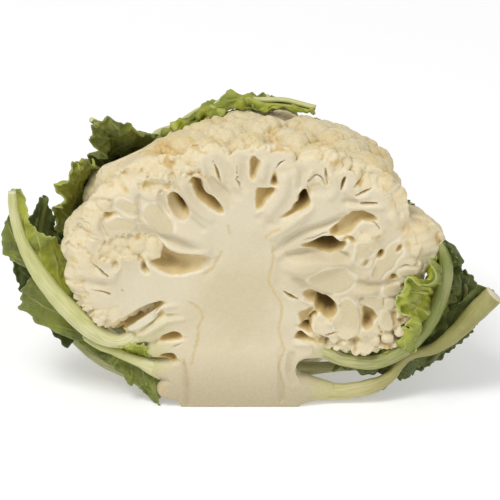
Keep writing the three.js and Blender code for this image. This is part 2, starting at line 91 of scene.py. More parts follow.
FRONT = 3.0  # mm before the cut plane that nothing passes
FRONT_SOFTNESS = 0.4  # mm over which it is held back there
FAR = 30.0  # mm, a distance that stands for far away
SCAR = [-35, 0, 9]  # a small brown scar at the stem's left foot
BLADE_CLEARANCE = 1.6  # mm from the curd to a blade's middle
BLADE_LIFT = 0.95  # mm from a stalk's skin to its blade's middle


# Numbers that look random but are the same each time.
def chance(seed):
    """Numbers from 0 to 1, always the same ones for the same seeds."""
    wave = np.sin(np.asarray(seed, float) * 12.9898 + 4.1) * 43758.5453
    return wave - np.floor(wave)


def ripple(points, size, seed, terms=7):
    """Smooth noise from -1 to 1 over points (..., dims), with bumps about `size` across."""
    points = np.asarray(points, float)
    total = np.zeros(points.shape[:-1])
    for k in range(terms):
        way = chance(seed + 7.3 * k + np.arange(points.shape[-1])) - 0.5
        way /= np.linalg.norm(way)
        total += np.sin(points @ way * (2 * math.pi / size) * (0.7 + 0.6 * chance(seed + k))
                        + 40 * chance(seed - k))
    return total / terms * 1.9


def spiral_directions(count, wobble, seed):
    """Directions spread evenly over a ball along a spiral, each pushed aside a little, as in the CAD."""
    golden = math.pi * (3 - math.sqrt(5))
    i = np.arange(count)
    y = 1 - 2 * (i + 0.5) / count
    ring = np.sqrt(1 - y * y)
    push = (chance(seed + i[:, None] * 3 + np.arange(3)) - 0.5) * 2 * wobble
    made = np.stack([ring * np.cos(golden * i), y, ring * np.sin(golden * i)], 1) + push
    return made / np.linalg.norm(made, axis=1, keepdims=True)


def along(points, share):
    """A smooth line through points of any number of values, read at shares of its length."""
    p = np.asarray(points, float)
    at = np.clip(np.atleast_1d(share), 0, 1) * (len(p) - 1)
    i = np.minimum(at.astype(int), len(p) - 2)
    t = (at - i)[:, None]
    b, c = p[i], p[i + 1]
    a = np.where(i[:, None] > 0, p[np.maximum(i - 1, 0)], 2 * b - c)
    d = np.where(i[:, None] + 2 < len(p), p[np.minimum(i + 2, len(p) - 1)], 2 * c - b)
    return b + 0.5 * t * (c - a + t * (2 * a - 5 * b + 4 * c - d + t * (3 * (b - c) + d - a)))


def smooth(x, low, high):
    """A soft step from 0 at `low` to 1 at `high`."""
    t = np.clip((x - low) / (high - low), 0, 1)
    return t * t * (3 - 2 * t)


def unit(v):
    return v / np.maximum(np.linalg.norm(v, axis=-1, keepdims=True), 1e-9)


def dome(share):
    """A round top from 1 to 0, over the square of the share of its radius."""
    return np.sqrt(np.clip(1 - share, 0, 1))


def between(table, u, v):
    """A table's values between its entries, at places u, v counted in entries."""
    i, j = u.astype(int), v.astype(int)
    s, t = u - i, v - j
    return (table[i, j] * (1 - s) * (1 - t) + table[i + 1, j] * s * (1 - t)
            + table[i, j + 1] * (1 - s) * t + table[i + 1, j + 1] * s * t)


# The curd's relief, kept on a map of directions about +Y.
MAP_SIZE = 1500
MAP_EDGE = 1.6  # +Y lies at 0, and -Y would lie at 2
map_axis = np.linspace(-MAP_EDGE, MAP_EDGE, MAP_SIZE)
map_u, map_v = np.meshgrid(map_axis, map_axis, indexing="ij")
map_rr = np.minimum(map_u**2 + map_v**2, 3.99)
map_dirs = np.stack([map_u * np.sqrt(1 - map_rr / 4), 1 - map_rr / 2, map_v * np.sqrt(1 - map_rr / 4)], -1)


def cobbles(count, wobble, seed, reach, vary=0.0):
    """Round tops from 0 to 1 over the map, highest at each direction of a spiral."""
    out = np.zeros((MAP_SIZE, MAP_SIZE))
    step = 2 * MAP_EDGE / (MAP_SIZE - 1)
    for i, c in enumerate(spiral_directions(count, wobble, seed)):
        if c[1] < -0.35:
            continue
        size = reach * (1 + vary * (chance(seed + i * 1.7) - 0.5))
        middle = c[[0, 2]] * math.sqrt(2 / (1 + c[1]))
        near = ((middle + MAP_EDGE) / step).astype(int)
        half = int(size * (1.1 + 0.9 * (1 - c[1])) / step) + 2
        low = np.maximum(near - half, 0)
        high = np.minimum(near + half + 1, MAP_SIZE)
        if (low >= high).any():
            continue
        window = np.s_[low[0]:high[0], low[1]:high[1]]
        share = ((map_dirs[window] - c) ** 2).sum(-1) / size**2
        tall = 1 + 0.6 * vary * (chance(seed + i * 2.3) - 0.5)
        out[window] = np.maximum(out[window], tall * dome(share))
    return out


lobe_map = cobbles(118, 0.05, 100, 0.205)
floret_map = cobbles(440, 0.03, 2000, 0.108)
cobble_map = cobbles(2400, 0.012, 31000, 0.049, 0.5)
granule_map = cobbles(11000, 0.006, 52000, 0.0225, 0.6)
fine_map = cobble_map * RELIEF["cobble"] + granule_map * RELIEF["granule"]
relief_map = lobe_map * RELIEF["lobe"] + floret_map * RELIEF["floret"] + fine_map - RELIEF["sunk"]
low_relief = (lobe_map * LOW_RELIEF["lobe"] + floret_map * LOW_RELIEF["floret"]
              + cobble_map * LOW_RELIEF["cobble"] + granule_map * LOW_RELIEF["granule"])
# Painted shade: the curd darkens between its tops, deepest in the creases.
crease_shade_map = ((1 - lobe_map) * CREASE_SHADE["lobe"] + (1 - floret_map) * CREASE_SHADE["floret"]
              + (1 - cobble_map) * CREASE_SHADE["cobble"] + (1 - granule_map) * CREASE_SHADE["granule"])


def on_map(table, directions):
    """A map's value at directions (..., 3)."""
    scale = np.sqrt(2 / np.maximum(1 + directions[..., 1], 0.05))
    top = MAP_SIZE - 1.001
    u = np.clip((directions[..., 0] * scale + MAP_EDGE) / (2 * MAP_EDGE) * (MAP_SIZE - 1), 0, top)
    v = np.clip((directions[..., 2] * scale + MAP_EDGE) / (2 * MAP_EDGE) * (MAP_SIZE - 1), 0, top)
    return between(table, u, v)


def widened(values, rounds):
    """Every value becomes the greatest one among its neighbours."""
    for _ in range(rounds):
        padded = np.pad(values, 1, mode="edge")
        sides = [padded[:-2, 1:-1], padded[2:, 1:-1], padded[1:-1, :-2], padded[1:-1, 2:]]
        values = np.maximum.reduce([values, *sides])
    return values


def curd_outline(directions):
    """How far the smooth curd reaches from its centre in each direction."""
    upper = np.where(directions[..., 2] > 0, CURD_HALF["up"], CURD_HALF["down"])
    total = (np.abs(directions[..., 0] / CURD_HALF["width"]) ** CURD_BULGE
             + np.abs(directions[..., 1] / CURD_HALF["depth"]) ** CURD_BULGE
             + np.abs(directions[..., 2] / upper) ** CURD_BULGE)
    outline = total ** (-1 / CURD_BULGE)
    for way, amount, reach in FLAT_SIDES:
        outline = outline - amount * np.exp(-(((directions - way) * [1, 0.45, 1]) ** 2).sum(-1) / reach**2)
    return outline


def over_slice(points):
    """Height over the thin slice that a knife took off the curd's upper left."""
    x, y, z = points[..., 0], points[..., 1], points[..., 2]
    near = np.minimum(y, SLICE_BENT)
    end, reach, height = SLICE_END
    top = (SLICE_TOP + SLICE_RISE * x + (SLICE_BEND[0] - SLICE_BEND[1] * near) * near
           - SLICE_FALL * (y - near) + height * np.clip((x - end) / reach, 0, 1) ** 2)
    return (z - top) / SLICE_TILT


def clear_of_curd(points, height):
    """Points moved out of the curd, if need be, to a given height over it."""
    away = points - CURD_CENTRE
    far = np.linalg.norm(away, axis=-1)
    way = away / far[..., None]
    least = curd_outline(way) + on_map(relief_map, way) + height
    cleared = far + (height - over_slice(points)) / np.maximum(way @ SLICE_NORMAL, 0.3)
    least = np.minimum(least, cleared)
    inside = (points[..., 1] > -1) & (far < least)
    return np.where(inside[..., None], CURD_CENTRE + way * least[..., None], points)


# The cut face, as a depth behind the plane of the cut.
grid_x = np.arange(-90, 97, VOXEL)
grid_y = np.arange(-3.6, 97, VOXEL)
grid_z = np.arange(-3 * VOXEL, 139, VOXEL)
face_x, face_z = np.meshgrid(grid_x, grid_z, indexing="ij")
TALL = PIXEL / math.cos(VIEW_UP)  # mm up the cut face for one pixel
LOWER = math.tan(VIEW_UP)  # how much lower a point is for each mm behind the cut, in the same pixel

# Hollows with an outline: how much painted shade browns them, then corners as [across, down, depth in mm].
POCKETS = [
    [.4, [[167, 197, 2], [173, 193, 7], [178, 197, 9], [183, 204, 9], [186, 210, 8], [189, 217, 5],
          [184, 222, 2], [178, 220, 3], [172, 214, 3], [168, 206, 3]]],
    [1, [[172, 193, 10], [178, 196, 14], [184, 203, 15], [188, 210, 15], [189, 217, 9], [184, 215, 13],
         [178, 208, 13], [174, 200, 12]]],
    [.8, [[188, 183, 5], [192, 180, 9], [197, 180, 12], [200, 178, 10], [202, 184, 12], [203, 190, 14],
          [207, 196, 14], [212, 197, 12], [218, 203, 11], [222, 209, 9], [224, 215, 5], [218, 213, 9],
          [210, 208, 11], [202, 202, 12], [197, 197, 13], [194, 189, 12], [193, 185, 8]]],
    [.65, [[253, 156, 3], [257, 160, 5], [260, 163, 5], [258, 169, 6], [256, 174, 6], [255, 180, 5],
           [253, 182, 4], [251, 181, 4], [250, 175, 6], [250, 163, 5]]],
    [.85, [[275, 170, 4], [276, 178, 8], [277, 185, 8], [275, 187, 7], [271, 185, 7], [272, 180, 7],
           [274, 175, 5]]],
    [.9, [[257, 189, 4], [265, 190, 8], [277, 189, 5], [272, 195, 7], [266, 201, 6], [262, 208, 5],
          [257, 212, 3], [256, 200, 3]]],
    [1, [[279, 219, 7], [287, 214, 13], [293, 211, 17], [294, 206, 17], [297, 204, 18], [299, 201, 18],
         [298, 198, 16], [301, 194, 17], [305, 189, 14], [308, 197, 18], [310, 203, 18], [307, 208, 18],
         [300, 211, 17], [291, 215, 13], [283, 219, 8]]],
    [.6, [[157, 241, 5], [163, 247, 9], [169, 252, 10], [177, 255, 8], [190, 256, 4], [205, 256, 2.5],
          [213, 259, 1.2], [211, 266, .8], [204, 271, .8], [192, 273, 2], [182, 275, 8], [170, 275, 15],
          [162, 272, 15], [152, 266, 11], [148, 260, 8]]],
    [.8, [[168, 303, 5], [160, 303, 12], [152, 305, 14], [146, 307, 12], [138, 311, 11], [128, 318, 11],
          [118, 322, 10], [110, 328, 7], [106, 333, 3], [114, 337, 3], [124, 333, 7], [136, 327, 9],
          [148, 319, 11], [156, 312, 12], [162, 306, 12]]],
    [.5, [[158, 314, 4], [162, 309, 4], [164, 315, 3], [174, 315, 2], [186, 316, 1], [172, 318, 2],
          [163, 318, 3], [155, 322, 4], [146, 329, 4], [135, 338, 2], [128, 340, 1], [140, 331, 4],
          [150, 322, 4]]],
    [.85, [[156, 343, 2], [161, 338, 6], [167, 335, 9], [174, 333, 10], [179, 334, 9], [182, 338, 5],
           [188, 339, 2], [182, 340, 4], [174, 341, 7], [164, 342, 5]]],
    [.9, [[155, 361, 2], [160, 357, 8], [165, 355, 12], [172, 355, 12], [175, 357, 10], [178, 364, 5],
          [172, 363, 8], [165, 361, 8]]],
    [1, [[298, 246, 10], [308, 245, 20], [315, 242, 28], [320, 239, 32], [326, 238, 34], [333, 238, 32],
         [337, 242, 28], [341, 244, 22], [347, 243, 8], [342, 250, 20], [338, 253, 26], [330, 255, 28],
         [318, 253, 26], [308, 249, 18]]],
    [.65, [[330, 230, 3], [338, 225, 7], [345, 219, 9], [352, 213, 10], [362, 212, 9], [372, 216, 7],
           [379, 221, 4], [370, 222, 4], [362, 221, 4], [357, 225, 4], [352, 232, 3], [346, 236, 3],
           [340, 236, 4], [336, 237, 5], [332, 236, 5]]],
    [.8, [[329, 231, 4], [335, 227, 8], [340, 225, 5], [338, 231, 9], [336, 237, 7], [332, 236, 6]]],
    [.85, [[342, 241, 3], [345, 238, 5], [349, 237, 6], [353, 238, 7], [355, 242, 7], [353, 246, 5],
           [351, 241, 2], [347, 240, 2], [344, 242, 2]]],
    [1, [[376, 260, 4], [378, 255, 10], [381, 251, 12], [384, 250, 8], [383, 254, 10], [380, 258, 8]]],
    [.8, [[395, 254, 3], [398, 249, 8], [403, 242, 3], [401, 248, 8], [398, 253, 6]]],
    [.6, [[362, 266, 3], [366, 262, 5], [371, 258, 3], [367, 265, 5]]],
    [.9, [[383, 284, 2], [389, 279, 6], [394, 274, 10], [397, 277, 8], [400, 279, 3], [392, 281, 5]]],
    [1, [[401, 286, 5], [405, 285, 8], [408, 287, 6], [404, 289, 5]]],
    [.6, [[302, 293, 2], [310, 291, 4], [318, 295, 8], [324, 297, 10], [318, 303, 12], [313, 303, 8],
          [307, 301, 4]]],
    [1, [[317, 298, 12], [325, 297, 20], [331, 300, 24], [335, 305, 26], [337, 311, 24], [334, 317, 14],
         [330, 319, 8], [325, 318, 6], [322, 313, 12], [317, 312, 18], [315, 306, 14]]],
    [.6, [[298, 313, 2], [305, 312, 4], [309, 309, 4], [314, 307, 2], [314, 311, 5], [309, 316, 6],
          [308, 326, 6], [303, 326, 5], [300, 320, 4]]],
    [1, [[294, 326, 4], [301, 326, 14], [308, 325, 18], [309, 319, 18], [313, 314, 14], [319, 311, 8],
         [315, 317, 12], [311, 323, 14], [310, 329, 14], [314, 336, 8], [306, 331, 12], [300, 328, 10]]],
    [.8, [[294, 339, 5], [297, 334, 10], [301, 332, 12], [305, 336, 10], [309, 339, 9], [318, 341, 7],
          [326, 346, 4], [332, 352, 2], [322, 346, 5], [313, 342, 8], [303, 341, 10]]],
    [.6, [[361, 303, 3], [366, 308, 6], [372, 310, 5], [378, 318, 4], [373, 323, 7], [372, 329, 11],
          [367, 331, 13], [362, 327, 14], [363, 316, 10]]],
    [.7, [[355, 340, 3], [358, 338, 5], [361, 343, 5], [359, 347, 3], [356, 344, 4]]],
    [.6, [[390, 312, 3], [397, 312, 5], [396, 318, 5], [399, 331, 2], [395, 326, 4], [392, 317, 4]]],
    [.6, [[103, 197, 2], [107, 200, 3], [112, 201, 3], [117, 202, 1], [112, 204, 2.5], [107, 203, 2]]],
    [.6, [[119, 188, 1], [125, 188, 3], [128, 191, 4], [130, 197, 2], [126, 195, 3]]],
    [.6, [[136, 178, 1.5], [138, 184, 3], [141, 186, 3], [143, 188, 1], [140, 189, 3], [136, 185, 2]]],
    [.6, [[99, 219, 2], [104, 219, 5], [104, 213, 4], [110, 214, 5], [116, 213, 5], [121, 214, 2],
          [112, 217, 6], [107, 221, 6]]],
    [.4, [[110, 260, 2], [114, 259, 5], [118, 264, 6], [117, 269, 4], [113, 270, 3], [112, 265, 3]]],
    [.6, [[141, 258, 3], [144, 262, 7], [146, 268, 8], [150, 274, 2], [145, 274, 7], [142, 270, 6],
          [141, 264, 5]]],
]
# Thin clefts: [across, down, half width, depth in mm] along each.
CLEFTS = [
    [[86, 211, .6, 1], [92, 213, .8, 2], [97, 212, .7, 2], [103, 213, .5, 1]],
    [[213, 162, .6, 2], [217, 171, 1.1, 5], [219, 178, 1.3, 5], [221, 183, .6, 2]],
    [[237, 167, .5, 3], [237, 174, .8, 4]],
    [[237, 178, 1, 3], [237.5, 178.5, 1, 3]],
    [[236, 180, .5, 2], [239, 184, 1, 4], [241, 190, .6, 2]],
    [[276, 169, .6, 2], [280, 164, 1, 4], [285, 161, .5, 2]],
    [[307, 187, 1, 3], [309, 192, 1.4, 4], [311, 197, .8, 2]],
    [[152, 238, .8, 2], [157, 241, 1.2, 5], [163, 247, 1.4, 8]],
    [[116, 239, 1.2, 3], [122, 240, 1, 3]],
    [[90, 263, .7, 2], [97, 268, 1, 3], [103, 273, 1.1, 3], [108, 276, .6, 1]],
    [[92, 291, .7, 2], [99, 292, .9, 2.5], [104, 293, 1, 3], [109, 295, 1.4, 3]],
    [[172, 348, .8, 1.5], [177, 346, 1.2, 2], [181, 344, .6, 1]],
    [[308, 181, .8, 2], [315, 176, 1, 3], [321, 178, 1, 3], [325, 186, .9, 2]],
    [[325, 169, .8, 2], [326, 176, 1.3, 4], [327, 186, .8, 2]],
    [[345, 178, 1, 4], [343, 183, 1.6, 8], [341, 190, .8, 4]],
    [[363, 178, .8, 3], [359, 183, 1.4, 5], [354, 188, .8, 2]],
    [[356, 196, .7, 2], [364, 193, 1.2, 5], [371, 190, .7, 3]],
    [[361, 204, .9, 3], [370, 204, 1.3, 6], [377, 204, .7, 3]],
    [[371, 222, .7, 3], [375, 224, 1, 3], [379, 228, .7, 2]],
    [[402, 267, .7, 2], [406, 266, 1.2, 3], [410, 266, .6, 2]],
    [[284, 292, .7, 3], [291, 297, 1.6, 6], [298, 300, .7, 2]],
    [[326, 336, .8, 2], [331, 335, 1.2, 4], [339, 333, .7, 2]],
    [[336, 347, 1.2, 3], [342, 343, 1.2, 3]],
    [[379, 328, 1, 4], [382, 335, 1.6, 5]],
    [[348, 344, .6, 3], [348, 352, .8, 3]],
    [[366, 344, .6, 3], [368, 352, .6, 2]],
    [[384, 299, .8, 2], [384, 305, 1, 2]],
    [[122, 291, 1, 1.2], [122.5, 291.5, 1, 1.2]],
    [[305, 240, .7, 1.5], [314, 238, .9, 2], [323, 234, .8, 2], [327, 233, .6, 1]],
    [[102, 222, .6, 1], [103, 232, .6, 1]],
    [[172, 180, .6, 1.4], [175, 188, .8, 2], [179, 197, .6, 1.5]],
]
# Soft rises (below 0) and dips of the face: [across, down, half width, depth in mm].
FOLDS = [
    [[162, 196, 4, 1], [163, 206, 5, 1.3], [168, 214, 4, .9]],
    [[132, 227, 4, .4], [150, 235, 7, 1.3], [168, 241, 8, 1.7], [188, 245, 7, 1.2], [204, 249, 4, .4]],
    [[150, 218, 4, -.4], [166, 225, 6, -.9], [182, 234, 7, -1.2], [197, 243, 7, -1], [207, 250, 5, -.6]],
    [[160, 240, 2, -.5], [170, 247, 2.6, -1], [184, 251, 2.6, -1], [204, 253, 2.4, -.5]],
    [[201, 160, 2, -.4], [204, 172, 2.6, -.8], [208, 185, 2.6, -.8], [215, 196, 2.4, -.7],
     [226, 207, 2.4, -.4]],
    [[211, 180, 3, .6], [221, 190, 4, 1.2], [228, 198, 3.4, .9], [232, 206, 2.6, .5]],
    [[228, 190, 6, .5], [236, 196, 6, .7]],
    [[276, 190, 2, -.5], [268, 197, 2.4, -.9], [262, 206, 2.4, -.8], [257, 215, 2, -.4]],
    [[272, 237, 4, -.7], [284, 228, 5, -1.4], [298, 218, 5, -1.4], [311, 209, 4, -.7]],
    [[262, 218, 6, .6], [270, 224, 5, .6]],
    [[276, 252, 3, .6], [286, 242, 4, 1.2], [302, 233, 4, 1.4], [322, 227, 4, 1.6], [344, 218, 4, 1.6]],
    [[296, 160, 3, .4], [302, 174, 4, .9], [300, 188, 4, .9]],
    [[312, 172, 2, -.7], [306, 180, 2.4, -.9], [303, 190, 2, -.5]],
    [[312, 190, 6, .9], [322, 192, 5, .6]],
    [[331, 176, 3, -.5], [336, 188, 4, -.7], [330, 198, 4, -.6]],
    [[346, 190, 5, -.7], [354, 197, 3, -.4]],
    [[350, 208, 3, -.6], [364, 207.5, 3, -.9], [382, 208, 3, -.6]],
    [[358, 199, 3, -.8], [368, 197, 2, -.6]],
    [[346, 202, 4, 1], [356, 202, 3, .9]],
    [[392, 218, 5, -.9], [397, 226, 4, -.6]],
    [[289, 256, 4, 1.2], [306, 254, 5, 2], [326, 254, 5, 2.2], [346, 257, 4, 1.4]],
    [[286, 268, 6, -.6], [302, 268, 9, -1.8], [322, 265, 9, -1.8], [340, 263, 6, -.8]],
    [[296, 280, 4, .8], [310, 290, 4, 1.2], [330, 296, 3, 1]],
    [[350, 263, 5, -.8], [354, 254, 4, -.6]],
    [[363, 246, 5, -.9], [372, 238, 7, -1.2], [380, 232, 5, -.8]],
    [[360, 284, 4, .9], [374, 286, 4, 1.3], [388, 285, 4, 1.1], [398, 282, 3, .8]],
    [[362, 262, 4, -.7], [372, 268, 5, -.8], [366, 278, 4, -.6]],
    [[358, 293, 5, -.9], [372, 292, 5, -.9]],
    [[302, 301, 1.6, -.6], [311, 303, 1.8, -.9], [317, 308, 1.8, -.9], [314, 314, 1.6, -.5]],
    [[338, 302, 3, -.9], [343, 311, 3, -1.1], [340, 321, 3, -.9], [330, 324, 3, -.7]],
    [[361, 300, 3, .8], [361, 314, 3, 1], [362, 328, 3, .8]],
    [[296, 345, 2.4, -.6], [310, 345, 2.6, -.8], [324, 350, 2.2, -.5]],
    [[99, 276, 5, -.7], [111, 277, 5, -.9], [118, 268, 3, -.6]],
    [[80, 282, 5, .8], [92, 285, 5, 1], [104, 284, 4, .5]],
    [[112, 206, 3, .8], [114, 214, 3, .8]],
    [[110, 190, 6, .8], [124, 182, 7, 1.5], [140, 178, 6, 1]],
    [[104, 205, 5, .9], [92, 206, 4, .8]],
    [[139, 198, 3, .8], [138, 210, 3, 1], [142, 222, 3, .8]],
    [[128, 207, 7, -.8], [130, 211, 6, -.6]],
    [[110, 228, 6, -.7], [128, 227, 7, -.9]],
    [[103, 221, 3, 1], [102, 230, 3, 1.1], [106, 237, 3, .8]],
    [[146, 196, 5, -.7], [156, 202, 5, -.6], [154, 214, 6, -.6]],
    [[171, 178, 3, .8], [176, 190, 3, .9]],
    [[182, 186, 5, -.8], [188, 198, 5, -.9], [198, 210, 5, -.9], [210, 220, 4, -.5]],
    [[190, 220, 4, .6], [202, 230, 4, .7]],
    [[220, 160, 5, .5], [226, 172, 6, .8], [228, 184, 5, .6]],
    [[245, 162, 5, .5], [244, 176, 5, .8], [246, 188, 5, .5]],
    [[264, 165, 5, -.7], [262, 178, 4, -.8]],
    [[285, 180, 5, -.7], [282, 195, 6, -.9], [272, 208, 6, -.8], [262, 222, 5, -.4]],
    [[118, 217, 2, -.5], [134, 218, 2.4, -.7], [144, 222, 2, -.5]],
    [[176, 306, 2.4, -.5], [162, 308, 2.6, -.8], [148, 318, 2.4, -.7], [134, 329, 2.2, -.4]],
    [[184, 320, 2, -.5], [168, 321, 2.4, -.8], [150, 331, 2.4, -.8], [132, 341, 2.2, -.4]],
    [[282, 262, 5, .5], [280, 284, 5, .4]],
    [[214, 262, 5, .5], [206, 276, 5, .4]],
    [[184, 366, 3, .4], [187, 384, 3, .6], [187, 404, 3, .4]],
    [[281, 350, 3, .3], [281, 372, 3, .6], [282, 400, 3, .5]],
    [[292, 356, 4, .8], [290, 372, 5, 1.2], [294, 382, 4, .8]],
]
# Cut branch ends that stand up to the cut face again:
# [across, down, half width, half height, turn in degrees].
SECTIONS = [
    [332, 281, 22, 13, 4], [387, 261, 8, 23, -33], [373, 304, 12, 7, -16], [391, 305, 7, 5.6, 0],
    [393, 291, 11, 6, 16], [387, 322, 7, 13, 20], [347, 322, 14, 20, 8], [411, 273, 9, 5, -10],
    [364, 251, 8, 11, -32], [126, 207, 11, 6, -26], [119, 226, 15, 7, 2], [158, 220, 10, 19, 36],
    [104, 206, 9, 5, -8],
]
# Clumps of natural curd that show in or behind the cut: [across, down, half size, depth in mm].
CLUMPS = [
    [105, 251, 11, .5], [120, 246, 13, .1], [114, 257, 8, .6], [137, 246, 15, 0], [153, 249, 11, .3],
    [128, 254, 8, .4], [145, 257, 6, .6], [153, 257, 6, .7], [158, 257, 4, 1.4], [112, 322, 8, 2.6],
    [122, 318, 7, 3.2], [132, 313, 7, 4], [142, 309, 6, 5], [150, 306, 5, 5.6], [98, 323, 7, 1.6],
    [366, 238, 9, 1.6], [374, 245, 6, 2], [360, 231, 5, 3], [380, 233, 6, 1.4], [318, 183, 6, 1],
    [327, 180, 5, 1.2], [313, 188, 4, 1.2], [190, 172, 6, .2], [198, 176, 5, .6], [293, 206, 3, 5],
    [297, 201, 2.4, 6], [320, 330, 5, .6], [334, 341, 5, .8], [346, 346, 5, .6], [360, 349, 6, .6],
    [374, 343, 7, .6], [388, 341, 7, .6], [400, 334, 6, .6], [377, 330, 5, 1.2], [406, 322, 5, .8],
    [288, 164, 4, .4], [283, 171, 5, .6], [292, 171, 4, .4], [187, 163, 4, .6], [194, 167, 4, .4],
    [213, 172, 4, .6], [208, 177, 4, .5], [149, 268, 2.6, 2.4], [328, 316, 5, 5], [316, 320, 5, .8],
    [321, 326, 6, .5],
]
# Where curd that grew shows at the cut: how far it lies back in mm, how grainy it is, then its outline.
ZONES = [
    [1.1, .8, [[58, 236], [66, 222], [72, 205], [78, 194], [88, 181], [104, 165], [130, 152], [152, 139],
               [180, 130], [203, 128], [206, 146], [199, 155], [196, 163], [202, 175], [197, 182],
               [188, 181], [180, 176], [172, 181], [160, 178], [148, 181], [140, 174], [128, 176],
               [118, 182], [106, 184], [98, 192], [92, 202], [84, 206], [82, 216], [92, 226], [84, 232],
               [96, 240], [88, 246], [74, 252]]],
    [.9, .3, [[56, 246], [74, 248], [88, 246], [92, 256], [76, 268], [80, 284], [92, 296], [84, 304],
              [96, 316], [100, 325], [84, 330], [64, 300]]],
    [1.3, .5, [[300, 146], [316, 152], [322, 164], [338, 164], [350, 171], [364, 173], [370, 184],
               [384, 194], [392, 206], [396, 218], [404, 222], [398, 232], [410, 236], [420, 250],
               [412, 262], [424, 272], [418, 284], [440, 290], [450, 260], [444, 222], [412, 198],
               [400, 165], [360, 130], [305, 125]]],
    [2.0, .35, [[97, 252], [103, 242], [116, 236], [132, 234], [148, 236], [158, 242], [164, 250],
                [163, 257], [155, 262], [148, 258], [140, 263], [130, 257], [118, 261], [106, 264],
                [98, 260]]],
    [1.3, .4, [[134, 186], [146, 180], [160, 178], [174, 186], [172, 193], [160, 196], [146, 194]]],
    [1.6, .8, [[312, 333], [325, 339], [336, 344], [350, 340], [365, 337], [377, 339], [390, 330],
               [404, 327], [408, 312], [428, 322], [412, 352], [380, 366], [336, 366], [316, 348]]],
]
# Where the curd's edge was broken instead of cut, it rounds back: angle in degrees, width and depth in mm.
BROKEN_EDGE = [
    [-180, 13, 7], [-150, 8, 4], [-120, 3, 1.5], [-60, 5, 3], [-30, 10, 6], [0, 12, 7], [25, 10, 6],
    [45, 7, 4], [65, 4, 2.5], [90, 2, 1.2], [112, 5, 3], [130, 10, 5], [150, 12, 6], [165, 10, 5],
    [180, 13, 7],
]
# Where stalks leave the stem: [x, y, z, radius] in mm along each.
ROOTS = [
    [[-16, 5, 42.6, 8.6], [-27, 5.6, 41.6, 6.9], [-35, 6, 39.6, 5.8], [-42, 6, 36, 4.6],
     [-48, 6, 33.4, 3.4]],
    [[-16, 5, 28.6, 7], [-29, 5, 29.2, 6.2], [-38, 5.4, 28.2, 4.8]],
    [[-16, 5, 15, 9], [-28, 6, 16.6, 7.6], [-37, 6, 17.4, 4.8]],
    [[16, 5, 29, 8], [27, 6, 28.4, 6.3], [38, 6, 26, 3.4]],
    [[16, 5, 8.5, 8.5], [28, 6, 7, 6.9], [40, 6, 5.8, 4.1]],
    [[-24, 3, 9, 6.5], [-32.6, 3.5, 8, 5]],
]
# Golden patches of the curd as the photograph shows them: [across, down, half size].
GOLD = [
    [168, 149, 15], [166, 157, 7], [187, 158, 9], [191, 163, 6], [148, 156, 8], [137, 176, 6],
    [130, 166, 9], [86, 214, 6], [88, 232, 7], [78, 246, 9], [73, 262, 7], [100, 241, 6], [84, 295, 6],
    [272, 135, 10], [297, 133, 8], [217, 143, 8], [190, 141, 7], [287, 148, 7], [320, 156, 8],
    [333, 150, 6], [346, 163, 7], [385, 186, 8], [393, 204, 8], [405, 230, 10], [378, 224, 5],
    [340, 134, 9], [312, 143, 7], [372, 155, 14], [388, 172, 12], [400, 195, 10], [418, 226, 10],
    [360, 178, 7],
]
# Yellowish strands that run through the core, [across, down] in pixels.
STRANDS = [
    [[189, 303], [199, 309], [203, 318], [198, 328], [198, 338], [195, 350], [191, 366]],
    [[183, 360], [186, 374], [188, 390], [187, 407]],
    [[205, 275], [213, 269], [217, 261], [222, 252]],
    [[273, 246], [273, 262], [269, 280], [274, 292], [281, 304], [282, 314], [279, 330], [282, 342],
     [284, 352], [279, 366], [281, 378], [284, 392], [279, 407]],
    [[228, 226], [230, 234]],
    [[266, 238], [272, 232], [280, 228]],
]


def on_face(across, down):
    """x and z in the cut face of a point of the photograph."""
    return (across - ZERO[0]) * PIXEL, (ZERO[1] - down) * TALL


def window_of(x, z, reach):
    """The part of the face within reach of a spot."""
    i = np.searchsorted(grid_x, [x - reach, x + reach])
    k = np.searchsorted(grid_z, [z - reach, z + reach])
    return np.s_[max(i[0] - 1, 0):i[1] + 1, max(k[0] - 1, 0):k[1] + 1]


def near_spot(x, z, size):
    """The part of the face round a spot, and the square of the share of `size` that each point is off."""
    window = window_of(x, z, size)
    return window, ((face_x[window] - x) ** 2 + (face_z[window] - z) ** 2) / size**2


def slice_points(y):
    """The grid's points at one depth behind the cut."""
    return np.stack([face_x, np.full(face_x.shape, y), face_z], -1)


def face_line(points, step=0.6):
    """A line of the cut face in mm, finely sampled: x, z, and the other values."""
    rows = np.array(points, float)
    rows[:, 0], rows[:, 1] = on_face(rows[:, 0], rows[:, 1])
    length = np.linalg.norm(np.diff(rows[:, :2], axis=0), axis=1).sum()
    return along(rows, np.linspace(0, 1, max(3, int(length / step))))


def outline(corners, rough=0.0):
    """The part of the face round an outline, and how far each of its points lies inside it."""
    c = np.array([on_face(*row[:2]) for row in corners])
    low, high = c.min(0) - 2, c.max(0) + 2
    i = np.searchsorted(grid_x, [low[0], high[0]])
    k = np.searchsorted(grid_z, [low[1], high[1]])
    window = np.s_[i[0]:i[1], k[0]:k[1]]
    p = face_points[window]
    best = np.full(p.shape[:2], 1e3)
    inside = np.zeros(p.shape[:2], bool)
    for start, end in zip(c, np.roll(c, -1, axis=0)):
        edge = end - start
        t = np.clip(((p - start) @ edge) / (edge @ edge), 0, 1)
        best = np.minimum(best, np.linalg.norm(p - start - t[..., None] * edge, axis=-1))
        rise = edge[1] if abs(edge[1]) > 1e-9 else 1e-9
        level = (start[1] > p[..., 1]) != (end[1] > p[..., 1])
        inside ^= level & (p[..., 0] < edge[0] * (p[..., 1] - start[1]) / rise + start[0])
    reach = np.where(inside, best, -best)
    return window, reach + rough * ripple(p, 3.2, 21) + rough * 0.6 * ripple(p, 1.4, 22), c


